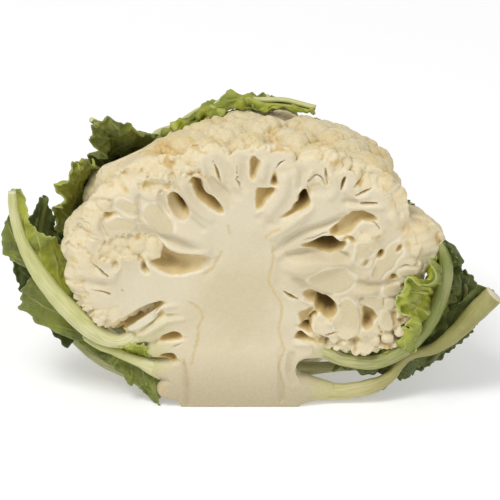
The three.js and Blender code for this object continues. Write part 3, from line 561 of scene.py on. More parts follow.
def blurred(table, size):
    """A table smoothed over `size` mm each way."""
    n = max(1, int(round(size / VOXEL)))
    for axis in (0, 1, 0, 1):
        pads = [(n + 1, n) if k == axis else (0, 0) for k in (0, 1)]
        sums = np.cumsum(np.pad(table, pads, mode="edge"), axis=axis)
        high = np.take(sums, range(2 * n + 1, sums.shape[axis]), axis)
        low = np.take(sums, range(0, sums.shape[axis] - 2 * n - 1), axis)
        table = (high - low) / (2 * n + 1)
    return table


def grains(scale, seed):
    """Round grains from 0 to 1 over the cut face, about `scale` mm apart."""
    out = np.zeros(face_x.shape)
    for x in np.arange(grid_x[0], grid_x[-1], scale):
        for z in np.arange(grid_z[0], grid_z[-1], scale * 0.87):
            spot = chance(seed + x * 3.1 + z * 7.7 + np.arange(3))
            at = np.array([x + scale * (spot[0] - 0.5), z + scale * (spot[1] - 0.5)])
            size = scale * (0.62 + 0.3 * spot[2])
            window, share = near_spot(at[0], at[1], size)
            out[window] = np.maximum(out[window], dome(share))
    return out


face_points = np.stack([face_x, face_z], -1)
grain_dents = (1 - grains(7.0, 5)) * 1.5 + (1 - grains(2.7, 11)) * 0.75 + (1 - grains(1.3, 77)) * 0.35


def curd_part(y):
    """How far each grid point of one slice behind the cut lies outside the curd, in mm."""
    points = slice_points(y)
    away = points - CURD_CENTRE
    far = np.maximum(np.linalg.norm(away, axis=-1), 1e-6)
    way = away / far[..., None]
    field = far - curd_outline(way)
    near = (field > -4) & (field < 14)
    field[near] -= on_map(relief_map, way[near])
    field[~near] -= 6
    for centre, half in LOW_FLORETS:
        low = (points - centre) / half
        low_field = (np.linalg.norm(low, axis=-1) - 1) * half[2]
        near = np.abs(low_field) < 7
        low_field[near] -= on_map(low_relief, unit(low[near] + [0, 1e-3, 0]))
        field = np.minimum(field, low_field)
    centre, half = SIDE_FLORET
    side = (np.linalg.norm((points - centre) / half, axis=-1) - 1) * half[2]
    near = np.abs(side) < 9
    side[near] -= SIDE_RELIEF * on_map(relief_map, way[near])
    return np.minimum(field, side)


def off_roots(points):
    """How far points lie outside the roots of the stalks, in mm."""
    best = np.full(points.shape[:-1], FAR)
    for root in ROOTS:
        for a, b in zip(np.array(root[:-1], float), np.array(root[1:], float)):
            edge = b[:3] - a[:3]
            t = np.clip(((points - a[:3]) @ edge) / (edge @ edge), 0, 1)
            gone = np.linalg.norm(points - a[:3] - t[..., None] * edge, axis=-1)
            best = np.minimum(best, gone - (a[3] * (1 - t) + b[3] * t))
    return best


def root_part(y):
    """The same for the grid points of one slice."""
    field = np.full(face_x.shape, FAR)
    low = grid_z < 60
    field[:, low] = off_roots(slice_points(y)[:, low])
    return field


def blended(a, b, k):
    """The nearer of two fields, with a fillet of about k mm where they meet."""
    share = np.clip(0.5 + 0.5 * (a - b) / k, 0, 1)
    return a * (1 - share) + b * share - k * share * (1 - share)


def body_part(y):
    """How far the points of one slice lie outside curd, stem and roots together, in mm."""
    points = slice_points(y)
    radius = STEM_RADIUS - STEM_WAIST + STEM_FOOT * np.exp(-((face_z - 2) / 9) ** 2)
    radius = radius + STEM_SPREAD * smooth(face_z, 36, 66) + 0.35 * ripple(points * [1, 1, 0.25], 9, 5, 5)
    stem = np.maximum(np.hypot(points[..., 0], y) - radius, face_z - STEM_TOP)
    return blended(blended(stem, root_part(y), ROOT_FILLET), curd_part(y), CURD_FILLET)


inside_by = -curd_part(0.0)  # how far inside the curd's outline each point of the cut face lies
turn = np.degrees(np.arctan2(face_z - CURD_CENTRE[2], face_x - CURD_CENTRE[0]))
edge_table = np.array(BROKEN_EDGE, float)
edge_width = np.interp(turn, edge_table[:, 0], edge_table[:, 1])
edge_depth = np.interp(turn, edge_table[:, 0], edge_table[:, 2])
edge_width = edge_width * (1 + 0.35 * ripple(face_points, 17, 3))
in_curd = smooth(face_z, 24, 34) * smooth(np.hypot(face_x, (face_z - 60) * 0.6), 28, 38)
in_curd = in_curd * smooth(root_part(0.0), -0.5, 3)
edge_share = np.clip(1 - inside_by / np.maximum(edge_width, 0.5), 0, 1) * in_curd
cut_depth = edge_depth * (1 - dome(edge_share**2))
natural = smooth(edge_share, 0.05, 0.5)  # 1 where the surface is curd that grew, 0 where the knife went
graininess = np.full(face_x.shape, 0.35)
for back, grain, corners in ZONES:
    window, reach, _ = outline(corners, 0.9)
    graininess[window] += (grain - graininess[window]) * smooth(reach, -0.5, 1.5)
    cut_depth[window] += back * smooth(reach, 0, 2.2) * in_curd[window]
    natural[window] = np.maximum(natural[window], smooth(reach, -0.3, 1) * in_curd[window])

relief = np.zeros(face_x.shape)
for line in FOLDS:
    swell = np.zeros(face_x.shape)
    for x, z, half, depth in face_line(line):
        window, share = near_spot(x, z, half * PIXEL * 1.5)
        rise = depth * np.clip(1 - share, 0, 1) ** 2
        swell[window] = np.where(np.abs(rise) > np.abs(swell[window]), rise, swell[window])
    relief += swell
cut_depth += FOLD_STRENGTH * blurred(relief, 0.45)

hollow_depth = np.zeros(face_x.shape)
# Painted shade in the hollows and clefts: how much their walls and floors are browned.
hollow_shade = np.zeros(face_x.shape)
for tint, corners in POCKETS:
    window, reach, c = outline(corners, 0.16)
    p = face_points[window]
    weight = 1 / (((p[..., None, :] - c) ** 2).sum(-1) + 1.5)
    floor_depth = (weight * np.array(corners)[:, 2]).sum(-1) / weight.sum(-1)
    wall = np.minimum(0.7 + 0.09 * floor_depth, max(reach.max() * 0.9, 0.3))
    steep = np.sin(math.pi / 2 * np.clip(reach / wall, 0, 1))
    floor_depth = (floor_depth + 0.35 * ripple(p, 3.5, 40)) * steep
    deeper = floor_depth > hollow_depth[window]
    hollow_depth[window] = np.where(deeper, floor_depth, hollow_depth[window])
    tinted = tint * smooth(reach, 0, 0.6) * smooth(floor_depth, 0.4, 3.5)
    hollow_shade[window] = np.where(deeper, tinted, hollow_shade[window])
hollow_depth = blurred(hollow_depth, 0.45)
hollow_shade = widened(hollow_shade, 2)
for line in CLEFTS:
    for x, z, half, depth in face_line(line):
        window, share = near_spot(x, z, max(half * PIXEL * 1.08, 0.36))
        cleft = CLEFT_STRENGTH * depth * np.clip(1 - share, 0, 1) ** 0.6
        hollow_depth[window] = np.maximum(hollow_depth[window], cleft)
        hollow_shade[window] = np.maximum(hollow_shade[window], smooth(1 - share, 0, 0.5) * min(1, 0.4 + depth / 10))
# Painted highlight along the rims of the hollows.
lip_highlight = np.clip(blurred((hollow_depth > 1.2).astype(float), 1.1) * 2.6, 0, 1) * (hollow_depth < 0.6)
cut_depth = np.where(hollow_depth > 0.05, np.maximum(cut_depth, hollow_depth), cut_depth)

for across, down, size, top in CLUMPS:
    x, z = on_face(across, down)
    z -= top * LOWER
    size *= PIXEL
    window, share = near_spot(x, z, size)
    raised = top + size * 0.7 * (1 - dome(share))
    here = (share < 1) & (cut_depth[window] > raised)
    cut_depth[window] = np.where(here, raised, cut_depth[window])
    hollow_shade[window] = np.where(here, hollow_shade[window] * 0.25, hollow_shade[window])
    natural[window] = np.maximum(natural[window], np.where(share < 1, smooth(1 - share, 0, 0.35), 0))

section = np.zeros(face_x.shape)
groove = np.zeros(face_x.shape)
for across, down, wide, high, angle in SECTIONS:
    x, z = on_face(across, down)
    c, s = math.cos(math.radians(angle)), math.sin(math.radians(angle))
    u = ((face_x - x) * c + (face_z - z) * s) / (wide * PIXEL)
    v = ((face_z - z) * c - (face_x - x) * s) / (high * TALL)
    off = (np.hypot(u, v) - 1) * min(wide * PIXEL, high * TALL) + 0.7 * ripple(face_points, 9, wide)
    section = np.maximum(section, smooth(-off, -0.1, 0.6))
    groove = np.maximum(groove, np.exp(-((off - 0.55) / 0.55) ** 2))
shallow = 1 - smooth(hollow_depth, 0.2, 1.2)
cut_depth = (cut_depth * (1 - section * shallow * SECTION_FLATNESS)
             + GROOVE_DEPTH * groove * (1 - section) * shallow * smooth(inside_by, 2, 6))
# Painted highlight also along the grooves round the cut branch ends.
lip_highlight = np.maximum(lip_highlight, 0.8 * groove * (1 - section) * shallow)

strand = np.zeros(face_x.shape)
for line in STRANDS:
    for x, z in face_line(line, 0.4):
        window = window_of(x, z, 1.6)
        far = np.hypot(face_x[window] - x + 0.25 * ripple(face_points[window], 3, 8), face_z[window] - z)
        strand[window] = np.maximum(strand[window], smooth(0.85 - far, 0, 0.7))

in_stem = smooth(inside_by, 0, 3)
cut_depth += natural * grain_dents * (1 - section) * graininess
cut_depth += smooth(9 - inside_by, 0, 9) * in_curd * grain_dents * 0.2 * (1 - section)
cut_depth += STRAND_DEPTH * strand
cut_depth += 0.2 * (1 + ripple(face_points, 26, 9)) * in_stem + 0.05 * (1 + ripple(face_points, 5, 15))
cut_depth = FRONT_SOFTNESS * np.logaddexp(0, (cut_depth + FRONT) / FRONT_SOFTNESS) - FRONT
steepness = np.sqrt(1 + blurred(widened(np.hypot(*np.gradient(cut_depth, VOXEL)), 3), 0.6) ** 2)


# The head's mesh, from where the field crosses zero.
def head_field():
    """How far each grid point lies outside the head, in mm."""
    field = np.empty((len(grid_x), len(grid_y), len(grid_z)), np.float32)
    for j, y in enumerate(grid_y):
        cut = (cut_depth - y) / steepness
        body = body_part(max(y, 0.0))
        points = slice_points(y)
        over = over_slice(points) - 0.4 * ripple(points, 13, 60)
        over -= 1.1 * smooth(face_x, -44, -30) * (1 + ripple(points, 7, 61))
        field[:, j] = np.maximum.reduce([body, cut, -face_z, over])
    return field


def skin_of(field):
    """Corner points (in grid steps) and four-cornered faces of the surface where a field crosses zero."""
    inside = field < 0
    shape = np.array(field.shape) - 1
    some = np.zeros(shape, bool)
    every = np.ones(shape, bool)
    corners = [(a, b, c) for a in (0, 1) for b in (0, 1) for c in (0, 1)]
    for a, b, c in corners:
        part = inside[a:a + shape[0], b:b + shape[1], c:c + shape[2]]
        some |= part
        every &= part
    cells = np.argwhere(some & ~every)
    number = np.full(shape, -1, np.int32)
    number[tuple(cells.T)] = np.arange(len(cells))
    total = np.zeros((len(cells), 3))
    count = np.zeros(len(cells))
    for start in corners:
        for axis in range(3):
            if start[axis]:
                continue
            end = list(start)
            end[axis] = 1
            one = field[tuple((cells + start).T)]
            two = field[tuple((cells + end).T)]
            crossed = (one < 0) != (two < 0)
            t = np.where(crossed, one / np.where(crossed, one - two, 1), 0)
            spot = np.tile(np.array(start, float), (len(cells), 1))
            spot[:, axis] += t
            total += spot * crossed[:, None]
            count += crossed
    places = cells + total / count[:, None]
    faces = []
    for axis in range(3):
        b, c = (axis + 1) % 3, (axis + 2) % 3
        first = np.take(inside, range(field.shape[axis] - 1), axis)
        second = np.take(inside, range(1, field.shape[axis]), axis)
        at = np.argwhere(first != second)
        at = at[(at[:, b] > 0) & (at[:, c] > 0) & (at[:, b] < shape[b]) & (at[:, c] < shape[c])]
        around = []
        for db, dc in ((-1, -1), (0, -1), (0, 0), (-1, 0)):
            cell = at.copy()
            cell[:, b] += db
            cell[:, c] += dc
            around.append(number[tuple(cell.T)])
        quads = np.stack(around, 1)
        leaving = first[tuple(at.T)]
        faces.append(np.where(leaving[:, None], quads, quads[:, ::-1]))
    return places, np.concatenate(faces)


def add_mesh(name, points, faces, values):
    """A mesh object from points in the plant's frame in mm, with named numbers at its points."""
    mesh = bpy.data.meshes.new(name)
    places = (np.asarray(points, float) - [0, STEM_END_CENTRE, 0]) / 1000
    faces = np.asarray(faces, np.int32)
    mesh.vertices.add(len(places))
    mesh.vertices.foreach_set("co", places.ravel())
    mesh.loops.add(faces.size)
    mesh.loops.foreach_set("vertex_index", faces.ravel())
    mesh.polygons.add(len(faces))
    mesh.polygons.foreach_set("loop_start", np.arange(len(faces), dtype=np.int32) * faces.shape[1])
    mesh.polygons.foreach_set("use_smooth", np.full(len(faces), True))
    mesh.update(calc_edges=True)
    mesh.validate()
    for key, numbers in values.items():
        layer = mesh.attributes.new(key, "FLOAT", "POINT")
        layer.data.foreach_set("value", np.asarray(numbers, np.float32).ravel())
    piece = bpy.data.objects.new(name, mesh)
    bpy.context.scene.collection.objects.link(piece)
    return piece


def at_face(table, points):
    """A cut-face table's value at points of the plant's frame."""
    i = np.clip((points[:, 0] - grid_x[0]) / VOXEL, 0, len(grid_x) - 1.001)
    k = np.clip((points[:, 2] - grid_z[0]) / VOXEL, 0, len(grid_z) - 1.001)
    return between(table, i, k)


def relaxed(points, quads, amount, rounds):
    """Points drawn towards the middle of their neighbours by an amount from 0 to 1, a few times over."""
    start, end = quads.ravel(), np.roll(quads, -1, axis=1).ravel()
    count = np.maximum(np.bincount(start, minlength=len(points)), 1)
    for _ in range(rounds):
        sums = [np.bincount(start, points[end, k], len(points)) for k in range(3)]
        middle = np.stack(sums, 1) / count[:, None]
        points = points + (middle - points) * amount[:, None]
    return points


places, quads = skin_of(head_field())
places = places * VOXEL + [grid_x[0], grid_y[0], grid_z[0]]
behind_cut = (places[:, 1] - at_face(cut_depth, places)) / at_face(steepness, places)
on_cut = smooth(1.0 - behind_cut, 0, 0.6)
in_hollow = on_cut * smooth(at_face(blurred(hollow_depth, 0.9), places), 0.3, 1.5)
places = relaxed(places, quads, RELAXING * in_hollow, RELAXING_ROUNDS)
ways = unit(places - CURD_CENTRE)
sliced = smooth(over_slice(places), -0.9, -0.4) * smooth(-places[:, 0], 34, 48)
grown = np.maximum(1 - on_cut, at_face(natural, places)) * (1 - 0.6 * sliced)
# Painted shade in creases: in the grain's dents on the cut face, and between the curd's tops elsewhere.
crease_shade = np.where(on_cut > 0.5, at_face(grain_dents, places) * 0.5, on_map(crease_shade_map, ways)) * (1 - sliced)
# Painted shade in the hollows: golden brown a little behind the cut, from the table above.
hollow_shade_here = at_face(hollow_shade, places)
hollow_shade_mix = hollow_shade_here * on_cut * smooth(places[:, 1], 0.1, 2.0)
rooted = np.zeros(len(places))
low = places[:, 2] < 52
rooted[low] = smooth(3 - off_roots(places[low]), 0, 3)
near_stem = smooth(STEM_RADIUS + 3 - np.hypot(places[:, 0], places[:, 1]), 0, 3)
stemmed = np.maximum(rooted, near_stem * smooth(58 - places[:, 2], 0, 8))
seen = np.stack([ZERO[0] + places[:, 0] / PIXEL,
                 ZERO[1] - (places[:, 2] * math.cos(VIEW_UP) + places[:, 1] * math.sin(VIEW_UP)) / PIXEL], 1)
gold = np.zeros(len(places))
for across, down, size in GOLD:
    gone = ((seen - [across, down]) ** 2).sum(1) / size**2
    gold = np.maximum(gold, np.clip(1 - gone, 0, 1) * (places[:, 1] < 70))
head = add_mesh("curd_and_stem", places, quads, dict(
    grown=grown * (1 - stemmed), gold=gold, crease_shade=np.clip(crease_shade, 0, 1.4), hollow_shade_mix=hollow_shade_mix, cut=on_cut,
    # Painted shade: darker brown still, deep in the most browned hollows.
    dark=0.55 * smooth(places[:, 1], 4, 11) * on_cut * smooth(hollow_shade_here, 0.82, 0.98),
    lip_highlight=at_face(lip_highlight, places) * on_cut,
    strand=at_face(strand, places) * on_cut,
    section=at_face(section, places) * on_cut,
    edge=np.clip(at_face(inside_by, places), 0, 30) / 30 * on_cut,
    under=smooth(0.5 - ways[:, 2], 0, 0.9) * (1 - on_cut),
    # Painted shade: the cut flesh darkens towards the bottom of the stem.
    low=smooth(34 - places[:, 2], 0, 34),
    green=(smooth(np.abs(places[:, 0]), 27, 40) * rooted
           * smooth(np.hypot(places[:, 0] + 34, places[:, 2] - 8.5), 7, 10)),
    scar=smooth(3.2 - np.linalg.norm(places - SCAR, axis=1), 0, 3)))


# Leaves. Each has its rib as [x, y, z, radius] in mm, the share of the rib where its blade starts, the
# blade's left and right rims as [x, y, z], the height and number of its waves, whether its stalk was
# cut by the knife or starts behind at the stem's root, its stalk's tone, and the brightness of its left
# and right half, which is painted light and shade, with the low numbers also giving the leaf's own
# darker green. Some have their own crumples, weaker teeth on one side, or a ridge to bend over.
LEAVES = [
    dict(name="leaf_left_main",
         rib=[[-18, 6, 41, 6.4], [-34, 6, 39.6, 5.9], [-46, 6, 34, 4.3], [-55, 6, 31, 3.3],
              [-64, 6.5, 34, 4.2], [-75, 7, 44, 4.6], [-86, 8, 57, 4], [-93.5, 9, 69, 3.3],
              [-99, 9, 82, 2.6], [-102, 9, 95, 2.1], [-102.5, 9, 105, 1.7]],
         start=0.36,
         right=[[-60, 14, 38], [-70, 20, 46], [-75, 23, 58], [-79, 21, 70], [-85, 17, 78], [-91, 14, 82],
                [-95, 12, 88], [-96, 12, 95], [-98.5, 11, 106]],
         left=[[-62, 10, 27], [-78, 12, 31], [-97, 14, 41], [-98, 15, 52], [-94, 14, 61], [-103, 14, 67],
               [-107, 13, 77], [-105.8, 12, 87], [-103.2, 10, 96], [-103, 9.4, 104]],
         wave=[1.6, 4], base="cut", tone="pale", shade=(0.34, 1.0)),
    dict(name="leaf_left_low",
         rib=[[-18, 6, 15.5, 6.5], [-34, 6, 16.6, 5.6], [-46, 7, 20, 2.6], [-56, 8, 24.2, 2.1],
              [-66, 11, 27.5, 2], [-78, 14, 35, 1.5]],
         start=0.3,
         right=[[-39, 2.5, 28], [-44, 2, 30.5], [-50, 2.5, 31], [-57, 5, 29.5], [-63, 9, 29], [-70, 12, 32],
                [-79, 14, 35.5]],
         left=[[-35, 4, 9], [-36.5, 3, 4], [-38.5, 3, 1.4], [-45, 5, 7], [-53, 8, 12], [-61, 11, 18.5],
               [-72, 14, 26], [-80, 16, 34]],
         wave=[1.4, 3], base="cut", tone="pale", shade=(0.34, 1.0), crumple=(0.3, 0.8, 0.4, 1.2)),
    dict(name="leaf_left_stub", rib=[[-18, 6, 28.6, 5.2], [-31, 6, 28.6, 4.4], [-40.5, 6, 27.4, 3.2]],
         base="cut", tone="pale"),
    dict(name="leaf_left_bract", rib=[[-22, 1, 55, 1.6], [-34, 1, 49.8, 1.9], [-43, 1, 43.6, 1.9],
                                      [-50, 1, 39.4, 1.1]],
         base="cut", tone="flesh"),
    dict(name="leaf_right_inner",
         rib=[[18, 6, 28.4, 5], [36, 6, 26.6, 3.9], [47, 6, 21.5, 3.3], [59.5, 6, 20, 3.4],
              [70, 5.5, 24, 3.4], [79.5, 5.5, 32, 3.4], [86.5, 6, 42, 3.4], [91, 6.5, 54, 3.4],
              [93, 7, 65, 3.2], [92, 8, 74, 2.7], [89.5, 9, 79, 2]],
         start=0.22,
         left=[[44, 12, 27], [56, 12, 27.5], [67, 9, 31], [74, 1, 35.5], [77.5, -4, 43], [71.5, -6, 51.5],
               [72, -6, 58], [76, -6, 65], [82, -3, 68], [88, 10, 76]],
         right=[[42, 9, 16], [54, 10, 14], [67, 10, 15.5], [79, 10, 22], [89, 11, 32], [95, 13, 43],
                [98, 14, 55], [99, 14, 65], [96, 13, 75], [91, 12, 80]],
         wave=[1.0, 5], base="cut", tone="olive", shade=(0.95, 0.15), teeth=(0.3, 1),
         crumple=(0.4, 1.6, 0.9, 4.2)),
    dict(name="leaf_right_outer",
         rib=[[18, 6, 7.5, 5.6], [37, 6, 5.4, 4.2], [49.5, 6, 5.6, 3.8], [61, 6, 8.3, 3.4],
              [68.5, 6, 13.4, 2.6], [72.5, 6, 19, 2.3], [77.5, 6, 24, 2.3], [88, 6.5, 27, 2.8],
              [98, 7, 35, 3.8], [107, 8, 45, 4.6], [115, 9, 53, 4.8]],
         start=0.36,
         left=[[58, 13, 13], [65, 15, 18], [72, 16, 24], [80, 16, 31], [90, 15, 40], [99, 13, 47],
               [108, 12, 56]],
         right=[[62, 9, 4.5], [70, 10, 8], [77, 11, 12], [84, 11, 16], [92, 10, 23], [101, 10, 32],
                [116, 11, 49]],
         wave=[1.6, 4], base="cut", tone="tan", shade=(0.12, 0.1)),
    dict(name="leaf_left_curled",
         rib=[[-18, 14, 23, 5.5], [-36, 29, 17, 5], [-56, 42, 20, 4.6], [-72, 49, 37, 4],
              [-79, 51, 58, 3.2], [-78, 47, 78, 2.4], [-76, 39, 95, 1.8], [-73.5, 31, 108, 1.3]],
         start=0.42,
         left=[[-70, 41, 26], [-80, 42, 42], [-85, 42, 58], [-85, 38, 72], [-81, 32, 86], [-81, 28, 98],
               [-75, 28, 110]],
         right=[[-60, 54, 26], [-70, 62, 44], [-73, 62, 64], [-72, 57, 84], [-66, 46, 98], [-66, 37, 105],
                [-72, 29, 111]],
         wave=[3.0, 5], base="root", tone="pale", shade=(0.7, 0.6), crumple=(0.8, 0.7, 0.3, 2.4)),
    dict(name="leaf_left_back",
         rib=[[-14, 17, 14, 6], [-30, 36, 5.2, 6], [-47, 56, 15, 5.2], [-60, 70, 36, 4.3],
              [-65, 75, 60, 3.6], [-64, 71, 84, 3], [-60, 59, 104, 2.4], [-61, 46, 118, 1.8],
              [-67, 37, 127, 1.2]],
         start=0.36,
         left=[[-54, 64, 22], [-65, 71, 42], [-71, 71, 62], [-70, 66, 84], [-68, 53, 97], [-63, 43, 107],
               [-67, 39, 116], [-67, 36, 125.5]],
         right=[[-38, 72, 24], [-46, 84, 46], [-50, 86, 68], [-50, 79, 90], [-43, 66, 99], [-38, 55, 107.5],
                [-49, 44, 121], [-63, 36, 127.5]],
         wave=[3.0, 5], base="root", tone="pale", shade=(0.25, 0.35), crumple=(0.8, 0.6, 0.25, 1.8)),
    dict(name="leaf_top",
         rib=[[-8, 20, 22, 5], [-20, 46, 15, 4.8], [-32, 71, 24, 4.4], [-40, 86, 46, 4], [-43, 88, 70, 3.4],
              [-39, 80, 95, 3], [-29, 65, 109.5, 2], [-18, 60, 120, 1.8], [-4.5, 58, 126, 1.6],
              [10, 56, 127.5, 1.4], [20, 54, 128.3, 1.4], [27, 52, 127.5, 1.4], [34, 50, 126.5, 1.4]],
         start=0.3,
         left=[[-50, 78, 44], [-58, 76, 62], [-60, 70, 82], [-50, 62, 98], [-38, 57, 105], [-26, 50, 114],
               [-13, 47, 121], [0, 47, 124], [12, 50, 125.5], [25, 49, 125], [34, 50, 125.5]],
         right=[[-24, 84, 36], [-22, 94, 56], [-20, 94, 78], [-17, 87, 97], [-13, 78, 112], [-6, 70, 121],
                [2, 66, 124.5], [10, 60, 126.5], [18, 56, 127.5], [27, 53.5, 127.5], [34, 51, 126.5]],
         wave=[2.4, 7], base="root", tone="pale", shade=(0.62, 0.55), ridge=(-3.6, 1.6), bow=0.18,
         crumple=(0.8, 1.0, 0.45, 2.4)),
    dict(name="leaf_back_middle",
         rib=[[4, 20, 13, 6.6], [9, 46, 5.8, 6.6], [13, 69, 12, 5.6], [16, 89, 31, 4.9], [17, 99, 57, 4.2],
              [16, 101, 81, 3.4], [14, 96, 100, 2.6], [12, 88, 113, 1.8]],
         start=0.36,
         left=[[-2, 80, 24], [-8, 95, 46], [-10, 102, 68], [-8, 100, 90], [0, 95, 106], [10, 87, 115]],
         right=[[30, 80, 24], [42, 90, 46], [46, 91, 68], [42, 88, 90], [30, 86, 105], [14, 87, 115]],
         wave=[3.4, 5], base="root", tone="pale", shade=(0.4, 0.4)),
    dict(name="leaf_right_back",
         rib=[[14, 17, 13, 5], [32, 39, 6.6, 4.6], [50, 58, 13, 5.2], [65, 70, 32, 4.2], [73, 70, 50, 3.2],
              [76, 66, 62, 2.2], [77.5, 61, 72, 1.4]],
         start=0.42,
         left=[[44, 72, 24], [56, 81, 42], [65, 78, 56], [71, 71, 66], [76.5, 62, 74]],
         right=[[66, 53, 24], [79, 55, 38], [85, 56, 51], [83, 58, 62], [79, 60, 73.5]],
         wave=[2.8, 4], base="root", tone="pale", shade=(0.3, 0.3)),
    dict(name="leaf_right_side",
         rib=[[18, 13, 13, 5], [44, 21, 10.4, 2.7], [68, 23, 12, 3.4], [88, 22, 23, 3.4], [97, 22, 33, 2.6],
              [102, 23, 44, 1.9], [101, 26, 55, 1.2]],
         start=0.4,
         left=[[64, 36, 20], [78, 40, 34], [86, 40, 47], [92, 36, 57], [100, 28, 59]],
         right=[[78, 15, 9], [96, 17, 21], [106, 18, 32], [109, 21, 44], [102, 25, 58]],
         wave=[2.4, 4], base="root", tone="olive", shade=(0.1, 0.1)),
    dict(name="leaf_left_dark",
         rib=[[-20, 12, 10, 5.6], [-42, 20, 7.5, 5.2], [-64, 26, 14, 4.5], [-82, 30, 32, 3.8],
              [-92, 32, 52, 3.2], [-93, 33, 72, 2.4], [-89, 32, 90, 1.4]],
         start=0.42,
         left=[[-78, 20, 20], [-92, 22, 36], [-101, 25, 52], [-101, 27, 68], [-96, 29, 81], [-90, 30, 91]],
         right=[[-68, 33, 24], [-80, 38, 40], [-84, 38, 56], [-83, 37, 70], [-85, 35, 81], [-89, 33, 91]],
         wave=[1.8, 4], base="root", tone="olive", shade=(0.0, 0.05)),
]


RIB_STEPS = 48  # as in the CAD
RING_GAP = 0.9  # mm along a stalk
RING_SIDES = 36
BLADE_ROWS = 170
BLADE_COLUMNS = 34  # from the rib to a rim
HALF_THICK = 0.34  # mm, of a blade
VEIN_GAP = 9.5  # mm
CRUMPLE = (0.55, 0.34, 0.16, 0.5)  # mm: wide, middling and fine crumples, and sharp creases
# Shares of the blade's length between which a blade with a ridge bends over it.
FOLDED = dict(starts=(0.25, 0.4), ends=0.68)


def frames(leaf, shares):
    """Forward and up directions along a rib, carried along it as in the CAD."""
    steps = RIB_STEPS
    at = np.arange(steps + 1)
    ahead = along(leaf["rib"], np.minimum(1, (at + 0.5) / steps))[:, :3]
    back = along(leaf["rib"], np.maximum(0, (at - 0.5) / steps))[:, :3]
    forward = unit(ahead - back)
    up = np.array([0.0, 1, 0]) if leaf["base"] == "cut" else np.array([0.0, 0, 1])
    ups = []
    for f in forward:
        up = unit(up - f * (up @ f))
        ups.append(up)
    table = np.concatenate([forward, np.array(ups)], 1)
    read = np.stack([np.interp(shares, at / steps, table[:, k]) for k in range(6)], 1)
    return unit(read[:, :3]), unit(read[:, 3:])


def tube_faces(rings, sides):
    """Four-cornered faces between the rings of a tube."""
    r, s = np.meshgrid(np.arange(rings - 1), np.arange(sides), indexing="ij")
    a, b = r * sides + s, r * sides + (s + 1) % sides
    return np.stack([a, b, b + sides, a + sides], -1).reshape(-1, 4)


def add_rib(leaf, index):
    """The stalk of a leaf, as a ridged tube with closed ends."""
    length = np.linalg.norm(np.diff(np.array(leaf["rib"])[:, :3], axis=0), axis=1).sum()
    rings = int(length / RING_GAP)
    sides = RING_SIDES
    share = np.linspace(0, 1, rings)
    line = along(leaf["rib"], share)
    forward, up = frames(leaf, share)
    across = np.cross(forward, up)
    angle = np.arange(sides) * 2 * math.pi / sides
    rise = np.where(np.sin(angle) > 0, 0.7, 1.0) * np.sin(angle)
    ridges = 1 + 0.02 * np.sin(angle * 11 + index) + 0.015 * np.sin(angle * 17)
    groove = 1 - 0.16 * np.exp(-((angle - math.pi / 2) / 0.5) ** 2)
    wobble = 1 + 0.04 * ripple(np.stack([share * length, share * 0 + index * 9], 1), 22, index)
    half = line[:, 3] * wobble
    points = (line[:, None, :3]
              + across[:, None] * (np.cos(angle) * ridges)[None, :, None] * half[:, None, None]
              + up[:, None] * (rise * ridges * groove)[None, :, None] * half[:, None, None])
    points += 0.12 * ripple(points, 7, index + 60)[..., None] * across[:, None]
    flesh = np.zeros(points.shape[:2])
    if leaf["base"] == "cut":
        face = 0.06 + 0.02 * index + 9 * (1 - smooth(np.abs(points[..., 0]), 31, 40))
        flesh = smooth(face - points[..., 1], 0, 0.3) * 0.8
        points[..., 1] = np.maximum(points[..., 1], face)
    points[..., 2] = np.maximum(points[..., 2], 0.0)
    ring_share = np.repeat(share[:, None], sides, 1)
    last = smooth(ring_share, 1 - 0.9 / length, 1) * (leaf["base"] == "cut")
    flat = points.reshape(-1, 3)
    middle = [points[0].mean(0), points[-1].mean(0)]
    flat = np.concatenate([flat, middle])
    faces = tube_faces(rings, sides)
    triangles = []
    for s in range(sides):
        nxt = (s + 1) % sides
        triangles.append([nxt, s, rings * sides])
        triangles.append([(rings - 1) * sides + s, (rings - 1) * sides + nxt, rings * sides + 1])
    name = leaf["name"] + "_stalk"
    all_faces = np.concatenate([faces[:, [0, 1, 2]], faces[:, [0, 2, 3]], np.array(triangles)])
    values = dict(along=np.append(ring_share.ravel(), [0, 1]),
                  flesh=np.append(np.maximum(flesh, last).ravel(), [1, 1]),
                  round=np.append(np.repeat(angle[None] / (2 * math.pi), rings, 0).ravel(), [0, 0]),
                  reach=np.append((ring_share * length).ravel(), [0, length]))
    return add_mesh(name, flat, all_faces, values)


